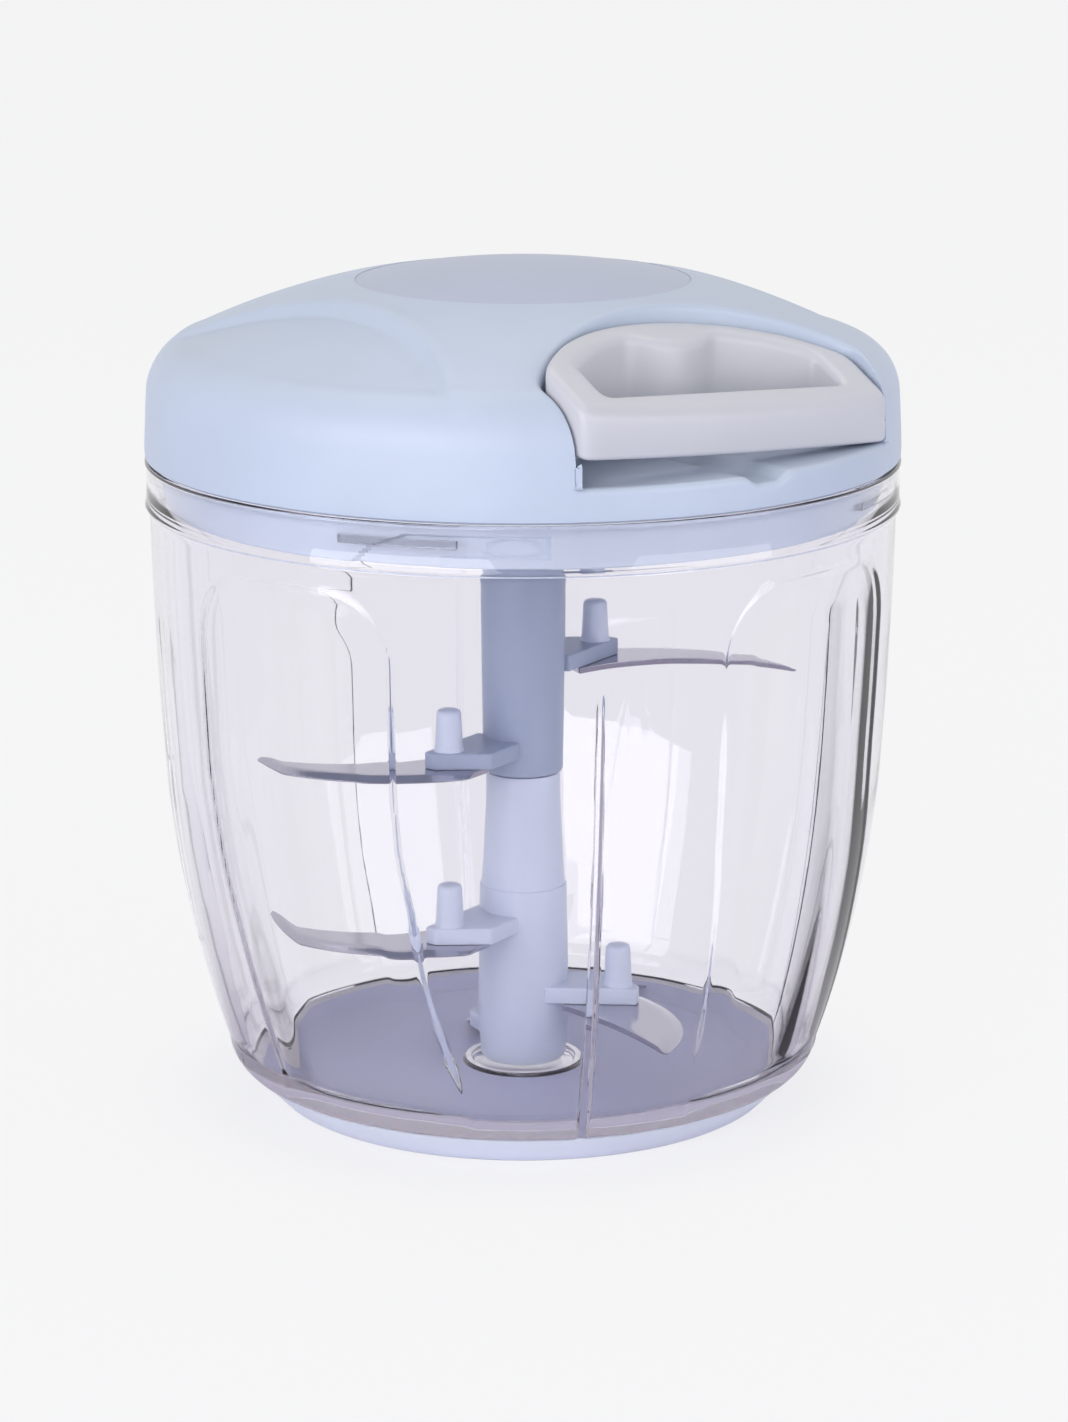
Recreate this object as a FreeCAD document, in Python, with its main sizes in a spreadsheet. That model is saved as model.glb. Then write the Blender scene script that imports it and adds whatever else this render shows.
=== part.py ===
"""Hand food chopper worked by a pull cord: clear bowl, domed lid with a sprung reel, five blades.

Millimetres, +Z up. The origin is the centre of the foot, on the surface the bowl stands on.
The handle is pulled along -Y. Azimuths are measured round +Z from -Y, towards +X.
"""
import FreeCAD, Part
import math
import os

import Sketcher
from FreeCAD import Placement, Rotation, Vector

# Driving sizes, one spreadsheet cell each
SIZES = {
    # foot ring under the bowl
    "foot_inset": 0.8,
    "foot_flare": 5.1,
    "foot_lip": 2.8,
    "foot_height": 5.5,
    "foot_inner_radius": 36.0,
    "foot_plate": 2.7,
    # bowl: the wall is set in from its neck, down to the heel
    "neck_radius": 64.7,
    "bowl_height": 114.3,
    "bowl_wall": 2.3,
    "rim_step": 0.5,
    "rim_band": 8.2,
    "shoulder_inset": 0.75,
    "shoulder_height": 81.0,
    "waist_inset": 2.1,
    "waist_height": 58.0,
    "belly_inset": 5.8,
    "belly_height": 33.5,
    "flank_inset": 12.1,
    "flank_height": 11.5,
    "heel_bulge_inset": 13.2,
    "heel_bulge_height": 7.9,
    "heel_inset": 14.9,
    "floor_inset": 22.7,
    "floor_height": 4.6,
    # arched panels, inner fins and bayonet ledges, four of each
    "panel_angle": 12.0,
    "panel_depth": 0.8,
    "panel_half_width": 19.5,
    "panel_drop": 4.1,
    "panel_corner": 12.0,
    "panel_low": 12.5,
    "fin_angle": -27.3,
    "fin_width": 1.4,
    "fin_depth": 2.6,
    "fin_top": 86.0,
    "fin_low": 9.0,
    "ledge_angle": -66.5,
    "ledge_sweep": 18.4,
    "ledge_depth": 4.3,
    "ledge_height": 1.6,
    # pivot of the blade spindle
    "pin_radius": 2.0,
    "pin_depth": 1.2,
    "pin_height": 10.8,
    "pin_chamfer": 0.6,
    "running_gap": 0.06,
    "pivot_ring_radius": 10.5,
    "pivot_ring_wall": 1.5,
    "pivot_ring_height": 0.7,
    # lid shell: rise over the bowl, then what its outer line steps in or drops
    "seat_gap": 0.05,
    "side_gap": 0.3,
    "lid_rise": 33.2,
    "lid_overhang": 0.3,
    "shoulder_draft": 0.55,
    "shoulder_drop": 8.9,
    "turn_inset": 2.2,
    "turn_drop": 4.2,
    "dome_inset": 8.0,
    "dome_radius": 142.5,
    "lid_wall": 2.6,
    "roof_wall": 3.6,
    "cap_radius": 29.0,
    "cap_thick": 1.0,
    "cap_sink": 0.12,
    "cap_gap": 0.12,
    "cap_bed": 1.8,
    "skirt_gap": 1.8,
    "skirt_depth": 8.1,
    "lug_angle": -47.1,
    "lug_sweep": 10.0,
    "lug_depth": 6.7,
    "lug_height": 2.0,
    "seal_inset": 0.5,
    "seal_width": 1.6,
    "seal_height": 1.0,
    "seal_gap": 0.1,
    # scoops and handle recess pressed into the dome
    "scoop_back": 35.3,
    "scoop_radius": 78.4,
    "scoop_depth": 1.7,
    "recess_back": 33.0,
    "recess_radius": 48.6,
    "recess_half_width": 33.5,
    "recess_drop": 15.2,
    "recess_wall": 2.2,
    "recess_corner": 5.0,
    "finger_radius": 4.0,
    "finger_inset": 23.5,
    "finger_drop": 1.3,
    # cover under the lid, with its screws
    "base_depth": 7.3,
    "base_thick": 2.4,
    "collar_wall": 2.0,
    "collar_gap": 5.7,
    "screw_inset": 8.0,
    "screw_angle": 30.0,
    "boss_radius": 3.6,
    "screw_radius": 1.5,
    "screw_bite": 6.0,
    "screw_head_radius": 3.0,
    "screw_head_height": 1.4,
    # post, reel and recoil spring inside the lid
    "post_radius": 4.0,
    "post_proud": 0.1,
    "post_bore_depth": 9.0,
    "hub_radius": 7.0,
    "reel_drop": 6.8,
    "flange_gap": 2.3,
    "flange_reach": 4.5,
    "flange_thick": 1.2,
    "drum_wall": 1.6,
    "winding_height": 8.0,
    "web_thick": 0.6,
    "cup_depth": 10.1,
    "plate_thick": 1.5,
    "socket_radius": 11.0,
    "socket_bore": 8.8,
    "socket_gap": 0.7,
    "socket_rib_bore": 6.7,
    "rib_sweep": 20.0,
    "dog_radius": 8.4,
    "washer_radius": 7.0,
    "washer_thick": 1.1,
    "post_screw_head": 1.5,
    "spring_inner": 4.7,
    "spring_turns": 6,
    "spring_pitch": 2.8,
    "spring_strip": 0.5,
    "spring_lift": 0.8,
    "spring_height": 7.0,
    # pull cord and the bush it runs through
    "cord_radius": 1.0,
    "bush_bore": 1.35,
    "bush_radius": 2.6,
    "bush_flange": 3.6,
    "bush_rim": 0.5,
    "knot_radius": 2.7,
    # pull handle: heights are from its roll axis
    "handle_gap": 0.8,
    "handle_side_gap": 0.6,
    "handle_arm": 4.3,
    "handle_setback": 8.3,
    "handle_bulge": 1.6,
    "handle_front_corner": 3.0,
    "handle_roll": 3.8,
    "handle_drop": 5.5,
    "handle_top_back": 11.7,
    "handle_top_middle": 7.3,
    "handle_top_front": -1.1,
    "handle_low_front": -7.8,
    "handle_low_middle": -5.4,
    "handle_low_back": -2.6,
    "handle_stock": 40.0,
    "handle_cheek": 7.3,
    "handle_bar": 3.9,
    "grip_corner": 2.5,
    "handle_boss": 10.5,
    "handle_boss_inset": 1.0,
    "knot_inset": 6.3,
    "knot_pocket": 3.0,
    # spindle, lower and upper mouldings
    "spindle_gap": 0.1,
    "spindle_foot": 7.6,
    "spindle_chamfer": 0.95,
    "spindle_belly": 8.05,
    "spindle_belly_height": 14.7,
    "spindle_step": 37.0,
    "spindle_step_radius": 7.7,
    "sleeve_radius": 7.4,
    "sleeve_waist": 6.55,
    "sleeve_waist_height": 52.0,
    "joint_height": 57.7,
    "spigot_radius": 4.5,
    "spigot_length": 14.3,
    "upper_foot": 7.05,
    "upper_foot_height": 1.3,
    "upper_radius": 7.4,
    "upper_radius_height": 88.0,
    "shoulder_depth": 3.1,
    "head_radius": 6.3,
    "head_gap": 1.0,
    "dog_lift": 2.0,
    # blade holders on the spindle: heights, then reach (u) and offset (v) of each corner
    "tab_thick": 2.9,
    "upper_tab_high": 78.3,
    "upper_tab_low": 64.2,
    "lower_tab_high": 32.7,
    "lower_tab_middle": 19.8,
    "lower_tab_low": 9.8,
    "upper_angle": -38.5,
    "lower_angle": 141.5,
    "tab_root_u": 3.2,
    "tab_root_v": 3.2,
    "tab_heel_u": 8.0,
    "tab_heel_v": -0.6,
    "tab_nose_u": 17.1,
    "tab_nose_v": 13.3,
    "tab_tip_u": 15.3,
    "tab_tip_v": 14.9,
    "tab_back_u": 5.4,
    "tab_back_v": 14.5,
    "tab_side_u": 0.4,
    "tab_side_v": 7.0,
    # pegs and what all blades share
    "peg_u": 12.8,
    "peg_v": 12.0,
    "peg_shank": 1.5,
    "peg_fit": 0.02,
    "peg_foot": 2.5,
    "peg_tip": 2.15,
    "peg_height": 7.3,
    "peg_rivet": 2.2,
    "rivet_height": 0.5,
    "blade_thick": 1.0,
    "blade_bevel": 2.6,
    "blade_back_u": 10.0,
    "blade_back_v": 2.0,
    "blade_side_u": 5.6,
    "blade_side_v": 12.0,
    "blade_edge_u": 9.5,
    "blade_edge_v": 17.6,
    "blade_tip_cut_u": 0.6,
    "blade_tip_cut_v": 0.8,
}
# What each blade has for itself, in millimetres
BLADES = {
    "upper_1": {"short": 16.3, "middle": 15.4, "back": 9.6, "edge": 18.6, "tip": 4.0},
    "upper_2": {"short": 14.5, "middle": 17.2, "back": 10.6, "edge": 18.6, "tip": 5.6},
    "lower_1": {"short": 14.5, "middle": 17.2, "back": 6.6, "edge": 15.6, "tip": -4.6},
    "lower_2": {"short": 24.2, "middle": 12.0, "back": 4.6, "edge": 15.4, "tip": 5.0},
    "lower_3": {"short": 20.5, "middle": 12.0, "back": 6.6, "edge": 15.0, "tip": -1.0},
}
for blade_name, own in BLADES.items():
    SIZES.update({f"{blade_name}_{what}": amount for what, amount in own.items()})
# The holder each blade sits under: its height, its side's angle and its turn from that
HOLDERS = {
    "upper_1": ("upper_tab_high", "upper_angle", 0),
    "upper_2": ("upper_tab_low", "upper_angle", 180),
    "lower_1": ("lower_tab_high", "lower_angle", 0),
    "lower_2": ("lower_tab_middle", "lower_angle", 120),
    "lower_3": ("lower_tab_low", "lower_angle", 240),
}
COPIES = 4
DOGS = 3


# Sizes that carry both their number and the sheet expression they come from

class Size:
    """A number worked out from sheet cells, with the expression that says so."""

    def __init__(self, value, text):
        self.value = value
        self.text = text

    def __add__(self, other):
        return Size(self.value + number(other), f"({self.text} + {words(other)})")

    def __sub__(self, other):
        return Size(self.value - number(other), f"({self.text} - {words(other)})")

    def __mul__(self, other):
        return Size(self.value * number(other), f"({self.text} * {words(other)})")

    def __truediv__(self, other):
        return Size(self.value / number(other), f"({self.text} / {words(other)})")

    def __neg__(self):
        return Size(-self.value, f"(0 - {self.text})")


def number(term):
    """The plain number of a size or a number."""
    return term.value if isinstance(term, Size) else float(term)


def words(term):
    """The sheet expression of a size or a number."""
    return term.text if isinstance(term, Size) else f"({float(term)!r})"


def root(term):
    """Square root of a size."""
    return Size(math.sqrt(term.value), f"sqrt({term.text})")


def cosine(angle):
    """Cosine of a size in degrees."""
    return Size(math.cos(math.radians(angle.value)), f"cos({angle.text} * 1 deg)")


def sine(angle):
    """Sine of a size in degrees."""
    return Size(math.sin(math.radians(angle.value)), f"sin({angle.text} * 1 deg)")


class Cells:
    """The named cells of the sheet, as sizes."""

    def __getattr__(self, name):
        return Size(float(SIZES[name]), f"Sizes.{name}")


doc = FreeCAD.newDocument("FoodChopper")
sheet = doc.addObject("Spreadsheet::Sheet", "Sizes")
for row, (alias, amount) in enumerate(SIZES.items(), start=1):
    sheet.set(f"A{row}", alias)
    sheet.set(f"B{row}", str(amount))
    sheet.setAlias(f"B{row}", alias)
doc.recompute()
cell = Cells()
nodes = {}


# Document helpers

def bind(thing, prop, size):
    """Tie a property to the sheet, or set it when it is a plain number."""
    if isinstance(size, Size):
        thing.setExpression(prop, size.text)
    else:
        setattr(thing, prop, size)


def place(thing, x=0, y=0, z=0, axis=None, angle=0):
    """Put a solid at a place bound to the sheet, turned about one axis."""
    rotation = Rotation(Vector(*axis), number(angle)) if axis else Rotation()
    thing.Placement = Placement(Vector(number(x), number(y), number(z)), rotation)
    for name, coordinate in (("x", x), ("y", y), ("z", z)):
        if isinstance(coordinate, Size):
            thing.setExpression(f"Placement.Base.{name}", coordinate.text)
    if isinstance(angle, Size):
        thing.setExpression("Placement.Rotation.Angle", angle.text)
    return thing


def cylinder(name, radius, height, **where):
    """A cylinder standing on its place."""
    solid = doc.addObject("Part::Cylinder", name)
    bind(solid, "Radius", radius)
    bind(solid, "Height", height)
    return place(solid, **where)


def cone(name, low, high, height, **where):
    """A cone frustum standing on its place."""
    solid = doc.addObject("Part::Cone", name)
    bind(solid, "Radius1", low)
    bind(solid, "Radius2", high)
    bind(solid, "Height", height)
    return place(solid, **where)


def box(name, length, width, height, **where):
    """A block with its low corner at its place."""
    solid = doc.addObject("Part::Box", name)
    bind(solid, "Length", length)
    bind(solid, "Width", width)
    bind(solid, "Height", height)
    return place(solid, **where)


def ball(name, radius, **where):
    """A ball about its place."""
    solid = doc.addObject("Part::Sphere", name)
    bind(solid, "Radius", radius)
    return place(solid, **where)


def cut(name, base, tool):
    """The base less the tool."""
    solid = doc.addObject("Part::Cut", name)
    solid.Base = base
    solid.Tool = tool
    return solid


def common(name, base, tool):
    """What two solids share."""
    solid = doc.addObject("Part::Common", name)
    solid.Base = base
    solid.Tool = tool
    return solid


def fuse(name, *shapes):
    """Several solids made one."""
    solid = doc.addObject("Part::MultiFuse", name)
    solid.Shapes = list(shapes)
    return solid


def node(label, solid):
    """Name a finished piece."""
    solid.Label = label
    nodes[label] = solid
    return solid


def new_body(name):
    """An empty body."""
    return doc.addObject("PartDesign::Body", name)


def origin_part(body, role):
    """An origin plane or axis of a body."""
    return next(part for part in body.Origin.OriginFeatures if part.Role == role)


def fix_point(drawn, index, position, x, y):
    """Hold a sketch point at sheet sizes."""
    for kind, size in (("DistanceX", x), ("DistanceY", y)):
        which = drawn.addConstraint(
            Sketcher.Constraint(kind, -1, 1, index, position, number(size)))
        if isinstance(size, Size):
            drawn.setExpression(f"Constraints[{which}]", size.text)


def outline(drawn, path):
    """Close a path: a start, then lines to (x, y) or arcs through (x, y) to (x, y)."""
    here = path[0]
    steps = list(path[1:])
    if steps[-1][-2:] != here:
        steps.append(here)
    first = None
    last = None
    for step in steps:
        end = step[-2:]
        ends = [Vector(number(x), number(y), 0) for x, y in (here, end)]
        if len(step) == 2:
            index = drawn.addGeometry(Part.LineSegment(*ends))
        else:
            middle = Vector(number(step[0]), number(step[1]), 0)
            index = drawn.addGeometry(Part.Arc(ends[0], middle, ends[1]))
            mark = drawn.addGeometry(Part.Point(middle), True)
            fix_point(drawn, mark, 1, step[0], step[1])
            drawn.addConstraint(Sketcher.Constraint("PointOnObject", mark, 1, index))
        begins = drawn.getPoint(index, 1).distanceToPoint(ends[0]) < 1e-6
        start_position, end_position = (1, 2) if begins else (2, 1)
        if last is None:
            first = (index, start_position)
            fix_point(drawn, index, start_position, *here)
        else:
            drawn.addConstraint(
                Sketcher.Constraint("Coincident", last[0], last[1], index, start_position))
        if end == path[0]:
            drawn.addConstraint(
                Sketcher.Constraint("Coincident", index, end_position, first[0], first[1]))
        else:
            fix_point(drawn, index, end_position, *end)
        last = (index, end_position)
        here = end


def circle(drawn, x, y, radius):
    """A round hole in a sketch."""
    index = drawn.addGeometry(
        Part.Circle(Vector(number(x), number(y), 0), Vector(0, 0, 1), number(radius)))
    fix_point(drawn, index, 3, x, y)
    which = drawn.addConstraint(Sketcher.Constraint("Radius", index, number(radius)))
    if isinstance(radius, Size):
        drawn.setExpression(f"Constraints[{which}]", radius.text)


def sketch(body, role, name, path, holes=(), lift=0, turn=0, about=(0, 0, 1)):
    """A closed outline on an origin plane, lifted off it and turned about it."""
    drawn = body.newObject("Sketcher::SketchObject", name)
    drawn.AttachmentSupport = (origin_part(body, role), [""])
    drawn.MapMode = "FlatFace"
    drawn.AttachmentOffset = Placement(
        Vector(0, 0, number(lift)), Rotation(Vector(*about), number(turn)))
    if isinstance(lift, Size):
        drawn.setExpression("AttachmentOffset.Base.z", lift.text)
    if isinstance(turn, Size):
        drawn.setExpression("AttachmentOffset.Rotation.Angle", turn.text)
    outline(drawn, path)
    for hole in holes:
        circle(drawn, *hole)
    return drawn


def turned(body, name, path, angle=360, turn=0):
    """Turn an outline in the XZ plane about Z, all round or over one angle."""
    drawn = sketch(body, "XZ_Plane", f"{name}Outline", path, turn=turn, about=(0, 1, 0))
    feature = body.newObject("PartDesign::Revolution", name)
    feature.Profile = drawn
    feature.ReferenceAxis = (drawn, ["V_Axis"])
    bind(feature, "Angle", angle)
    return feature


def raised(body, name, path, height, holes=(), lift=0, turn=0):
    """Pad an outline upwards from a height."""
    drawn = sketch(body, "XY_Plane", f"{name}Outline", path, holes, lift, turn)
    feature = body.newObject("PartDesign::Pad", name)
    feature.Profile = drawn
    bind(feature, "Length", height)
    return feature


def repeated(body, name, feature, count):
    """Repeat a feature evenly round Z."""
    pattern = body.newObject("PartDesign::PolarPattern", name)
    pattern.Originals = [feature]
    pattern.Axis = (origin_part(body, "Z_Axis"), [""])
    pattern.Angle = 360
    pattern.Occurrences = count
    body.Tip = pattern
    return pattern


def one_turned(name, path):
    """A body that is one turned outline."""
    body = new_body(name)
    turned(body, f"{name}Turned", path)
    return body


def ring_path(inner, outer, low, high):
    """The section of a plain ring."""
    return [(inner, low), (outer, low), (outer, high), (inner, high)]


# Radii and heights that follow from the driving sizes

rim_radius = cell.neck_radius + cell.rim_step
rim_bore = cell.neck_radius - cell.bowl_wall
neck_height = cell.bowl_height - cell.rim_band
shoulder_radius = cell.neck_radius - cell.shoulder_inset
waist_radius = cell.neck_radius - cell.waist_inset
belly_radius = cell.neck_radius - cell.belly_inset
flank_radius = cell.neck_radius - cell.flank_inset
heel_bulge_radius = cell.neck_radius - cell.heel_bulge_inset
heel_radius = cell.neck_radius - cell.heel_inset
floor_radius = cell.neck_radius - cell.floor_inset
foot_top_radius = heel_radius - cell.foot_inset
foot_radius = foot_top_radius - cell.foot_flare
foot_seat_radius = foot_top_radius - cell.foot_lip
panel_top = neck_height - cell.panel_drop
ledge_low = cell.bowl_height - cell.ledge_depth
pin_low = cell.floor_height - cell.pin_depth
pin_top = cell.floor_height + cell.pin_height
apex_height = cell.bowl_height + cell.lid_rise
lid_radius = rim_radius + cell.lid_overhang
lid_shoulder_radius = lid_radius - cell.shoulder_draft
lid_turn_radius = lid_radius - cell.turn_inset
dome_edge = lid_radius - cell.dome_inset
skirt_radius = rim_bore - cell.skirt_gap
skirt_low = cell.bowl_height - cell.skirt_depth
lug_low = cell.bowl_height - cell.lug_depth
seal_inner = rim_bore + cell.seal_inset
seal_outer = seal_inner + cell.seal_width
scoop_centre = cell.scoop_back + cell.scoop_radius
recess_centre = cell.recess_back + cell.recess_radius
base_low = cell.bowl_height - cell.base_depth
flange_radius = cell.recess_back - cell.recess_wall - cell.flange_gap
drum_radius = flange_radius - cell.flange_reach
reel_top = apex_height - cell.reel_drop
drum_high = reel_top - cell.flange_thick
drum_low = drum_high - cell.winding_height
flange_low = drum_low - cell.flange_thick
cord_height = drum_low + cell.winding_height / 2
cup_low = flange_low - cell.cup_depth
plate_low = cup_low - cell.plate_thick
post_low = plate_low - cell.post_proud
washer_low = post_low - cell.washer_thick
post_screw_low = washer_low - cell.post_screw_head
spring_low = cup_low + cell.spring_lift
base_collar = plate_low - cell.collar_gap
recess_floor = cord_height - cell.recess_drop
handle_axis = cord_height - cell.handle_drop
handle_front = lid_radius - cell.handle_setback
grip_front = handle_front - cell.handle_bar
finger_reach = lid_radius - cell.finger_inset
knot_place = cell.recess_back + cell.knot_inset
boss_place = cell.recess_back - cell.handle_boss_inset
shoulder_top = base_low - cell.shoulder_depth
socket_low = shoulder_top + cell.socket_gap
head_top = post_screw_low - cell.head_gap
spindle_low = cell.floor_height + cell.pivot_ring_height + cell.spindle_gap
spigot_top = cell.joint_height + cell.spigot_length


def dome(radius, drop=0.0):
    """Height of the lid's dome, or of a surface a drop below it, at a radius."""
    reach = cell.dome_radius * cell.dome_radius - radius * radius
    return apex_height - cell.dome_radius + root(reach) - drop


lid_turn_height = dome(dome_edge, cell.turn_drop)
lid_shoulder_height = dome(dome_edge, cell.shoulder_drop)


# Foot ring: soft ring that the bowl stands on

node("base_ring", one_turned("FootRing", [
    (cell.foot_inner_radius, 0),
    (foot_radius, 0),
    (foot_top_radius, cell.foot_height),
    (foot_seat_radius, cell.foot_height),
    (foot_seat_radius, cell.foot_plate),
    (cell.foot_inner_radius, cell.foot_plate)]))


# Bowl: turned wall with fins, bayonet ledges and arched panels

def bowl_wall(inset):
    """The outer wall's line from the heel to the neck, moved in by an inset."""
    return [
        (heel_radius - inset, cell.foot_height + cell.seat_gap),
        (heel_bulge_radius - inset, cell.heel_bulge_height,
         flank_radius - inset, cell.flank_height),
        (belly_radius - inset, cell.belly_height,
         waist_radius - inset, cell.waist_height),
        (shoulder_radius - inset, cell.shoulder_height,
         cell.neck_radius - inset, neck_height)]


bowl_body = new_body("BowlBody")
plug_radius = foot_seat_radius - cell.seat_gap
plug_low = cell.foot_plate + cell.seat_gap
ring_top = cell.floor_height + cell.pivot_ring_height
turned(bowl_body, "BowlWall", [
    (0, plug_low),
    (plug_radius, plug_low),
    (plug_radius, cell.foot_height + cell.seat_gap),
    *bowl_wall(0),
    (rim_radius, neck_height),
    (rim_radius, cell.bowl_height),
    (rim_bore, cell.bowl_height),
    (rim_bore, neck_height),
    (shoulder_radius - cell.bowl_wall, cell.shoulder_height,
     waist_radius - cell.bowl_wall, cell.waist_height),
    (belly_radius - cell.bowl_wall, cell.belly_height,
     flank_radius - cell.bowl_wall, cell.flank_height + cell.bowl_wall * 0.6),
    (heel_bulge_radius - cell.bowl_wall * 1.7, cell.heel_bulge_height,
     floor_radius, cell.floor_height),
    (cell.pivot_ring_radius, cell.floor_height),
    (cell.pivot_ring_radius, ring_top),
    (cell.pivot_ring_radius - cell.pivot_ring_wall, ring_top),
    (cell.pivot_ring_radius - cell.pivot_ring_wall, cell.floor_height),
    (cell.pin_radius, cell.floor_height),
    (cell.pin_radius, pin_low),
    (0, pin_low)])

half_wall = cell.bowl_wall / 2
fin_path = [
    (flank_radius - half_wall - cell.bowl_wall, cell.fin_low),
    (belly_radius - cell.bowl_wall - cell.fin_depth, cell.belly_height,
     shoulder_radius - cell.bowl_wall - 0.2, cell.fin_top),
    (shoulder_radius - half_wall, cell.fin_top),
    (belly_radius - half_wall, cell.belly_height,
     flank_radius - half_wall, cell.fin_low)]
fin_outline = sketch(bowl_body, "XZ_Plane", "FinOutline", fin_path,
                     turn=cell.fin_angle, about=(0, 1, 0))
fin = bowl_body.newObject("PartDesign::Pad", "Fin")
fin.Profile = fin_outline
fin.SideType = "Symmetric"
bind(fin, "Length", cell.fin_width)
repeated(bowl_body, "Fins", fin, COPIES)

ledge = turned(bowl_body, "Ledge", ring_path(
    skirt_radius + cell.side_gap, rim_bore + 0.5,
    ledge_low, ledge_low + cell.ledge_height),
    angle=cell.ledge_sweep, turn=cell.ledge_angle)
repeated(bowl_body, "Ledges", ledge, COPIES)

panel_core = one_turned("PanelCore", [
    (0, plug_low), (heel_radius - cell.panel_depth, plug_low),
    *bowl_wall(cell.panel_depth), (0, neck_height)])
panel_body = new_body("PanelArch")
arch_shoulder = panel_top - cell.panel_corner
arch_bend = cell.panel_corner * 0.293
arch_flat = cell.panel_half_width - cell.panel_corner
arch_outline = sketch(panel_body, "XZ_Plane", "ArchOutline", [
    (-cell.panel_half_width, cell.panel_low),
    (cell.panel_half_width, cell.panel_low),
    (cell.panel_half_width, arch_shoulder),
    (cell.panel_half_width - arch_bend, panel_top - arch_bend, arch_flat, panel_top),
    (-arch_flat, panel_top),
    (arch_bend - cell.panel_half_width, panel_top - arch_bend,
     -cell.panel_half_width, arch_shoulder)],
    turn=cell.panel_angle, about=(0, 1, 0))
arch = panel_body.newObject("PartDesign::Pad", "Arch")
arch.Profile = arch_outline
bind(arch, "Length", rim_radius + cell.panel_depth)
repeated(panel_body, "Arches", arch, COPIES)
panels = cut("Panels", panel_body, panel_core)
node("bowl", cut("Bowl", bowl_body, panels))

node("pivot_pin", one_turned("PivotPin", [
    (0, pin_low), (cell.pin_radius, pin_low),
    (cell.pin_radius, pin_top - cell.pin_chamfer),
    (cell.pin_radius - cell.pin_chamfer, pin_top),
    (0, pin_top)]))


# Lid shell: turned dome and skirt, with recess, scoops, post and screw bosses

lid_low = cell.bowl_height + cell.seat_gap
groove_inner = seal_inner - cell.seal_gap
groove_outer = seal_outer + cell.seal_gap
groove_top = cell.bowl_height + cell.seal_height + cell.seal_gap
cap_seat = cell.cap_thick + cell.cap_sink
cap_floor = dome(cell.cap_radius, cap_seat)
roof_height = cap_floor - cell.cap_bed
screw_top = post_low + cell.post_bore_depth
screw_hole = cell.screw_radius + 0.05


def outer_dome():
    """The lid's outer line, from its lower edge to the edge of the cap."""
    return [
        (lid_radius, lid_low),
        (lid_shoulder_radius, lid_shoulder_height),
        (lid_turn_radius, lid_turn_height, dome_edge, dome(dome_edge))]


def arc_on_dome(outer, inner, drop):
    """An arc along the dome, or a drop below it, from one radius to another."""
    middle = (outer + inner) / 2
    return (middle, dome(middle, drop), inner, dome(inner, drop))


skirt_bore = skirt_radius - cell.lid_wall
inner_edge = dome_edge - cell.lid_wall
shell_body = new_body("ShellBody")
turned(shell_body, "Shell", [
    (skirt_radius, skirt_low),
    (skirt_radius, lid_low),
    (groove_inner, lid_low),
    (groove_inner, groove_top),
    (groove_outer, groove_top),
    (groove_outer, lid_low),
    *outer_dome(),
    arc_on_dome(dome_edge, cell.cap_radius, 0),
    (cell.cap_radius, cap_floor),
    (0, cap_floor),
    (0, screw_top),
    (screw_hole, screw_top),
    (screw_hole, post_low),
    (cell.post_radius, post_low),
    (cell.post_radius, roof_height),
    (cell.cap_radius, roof_height),
    arc_on_dome(cell.cap_radius, inner_edge, cell.roof_wall),
    (lid_turn_radius - cell.lid_wall * 1.3, lid_turn_height - cell.lid_wall * 1.3,
     lid_shoulder_radius - cell.lid_wall, lid_shoulder_height - cell.lid_wall),
    (lid_shoulder_radius - cell.lid_wall, groove_top + cell.lid_wall),
    (skirt_bore, lid_low),
    (skirt_bore, skirt_low)])
lug = turned(shell_body, "Lug", ring_path(
    skirt_radius - 0.5, rim_bore - cell.side_gap,
    lug_low, lug_low + cell.lug_height),
    angle=cell.lug_sweep, turn=cell.lug_angle)
repeated(shell_body, "Lugs", lug, COPIES)

# The solid dome trims whatever is added under the roof
dome_solid = one_turned("DomeSolid", [
    (0, lid_low), *outer_dome(), arc_on_dome(dome_edge, cell.cap_radius / 100, 0.4),
    (0, dome(cell.cap_radius / 100, 0.4))])


def d_path(half, curve, corner, front, bulge=0, front_corner=0):
    """Plan of a D: an arc towards the lid's centre, two sides, and a front across them."""
    side = half - corner
    reach = root((curve - corner) * (curve - corner) - side * side)
    across = side / (curve - corner)
    along = reach / (curve - corner)
    spread = root((across + 1) * (across + 1) + along * along)
    bend_x = side + corner * (across + 1) / spread
    bend_y = reach - recess_centre + corner * along / spread
    corner_y = reach - recess_centre
    arc_x = across * curve
    arc_y = along * curve - recess_centre
    if front_corner:
        near = front_corner * 0.293
        path = [(-half, front_corner - front),
                (near - half, near - front, front_corner - half, -front)]
        if bulge:
            path.append((0, -front - bulge, half - front_corner, -front))
        else:
            path.append((half - front_corner, -front))
        path.append((half - near, near - front, half, front_corner - front))
    else:
        path = [(-half, -front), (half, -front)]
    return path + [(half, corner_y), (bend_x, bend_y, arc_x, arc_y),
                   (0, curve - recess_centre, -arc_x, arc_y),
                   (-bend_x, bend_y, -half, corner_y)]


def recess_path(grow):
    """Plan of the handle recess, grown all round and run out past the lid."""
    return d_path(cell.recess_half_width + grow, cell.recess_radius + grow,
                  cell.recess_corner + grow, lid_radius + 6.0)


def recess_prism(name, grow, low):
    """The recess plan carried up from a height, past the dome."""
    body = new_body(name)
    raised(body, f"{name}Pad", recess_path(grow), apex_height - low, lift=low)
    return body


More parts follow.
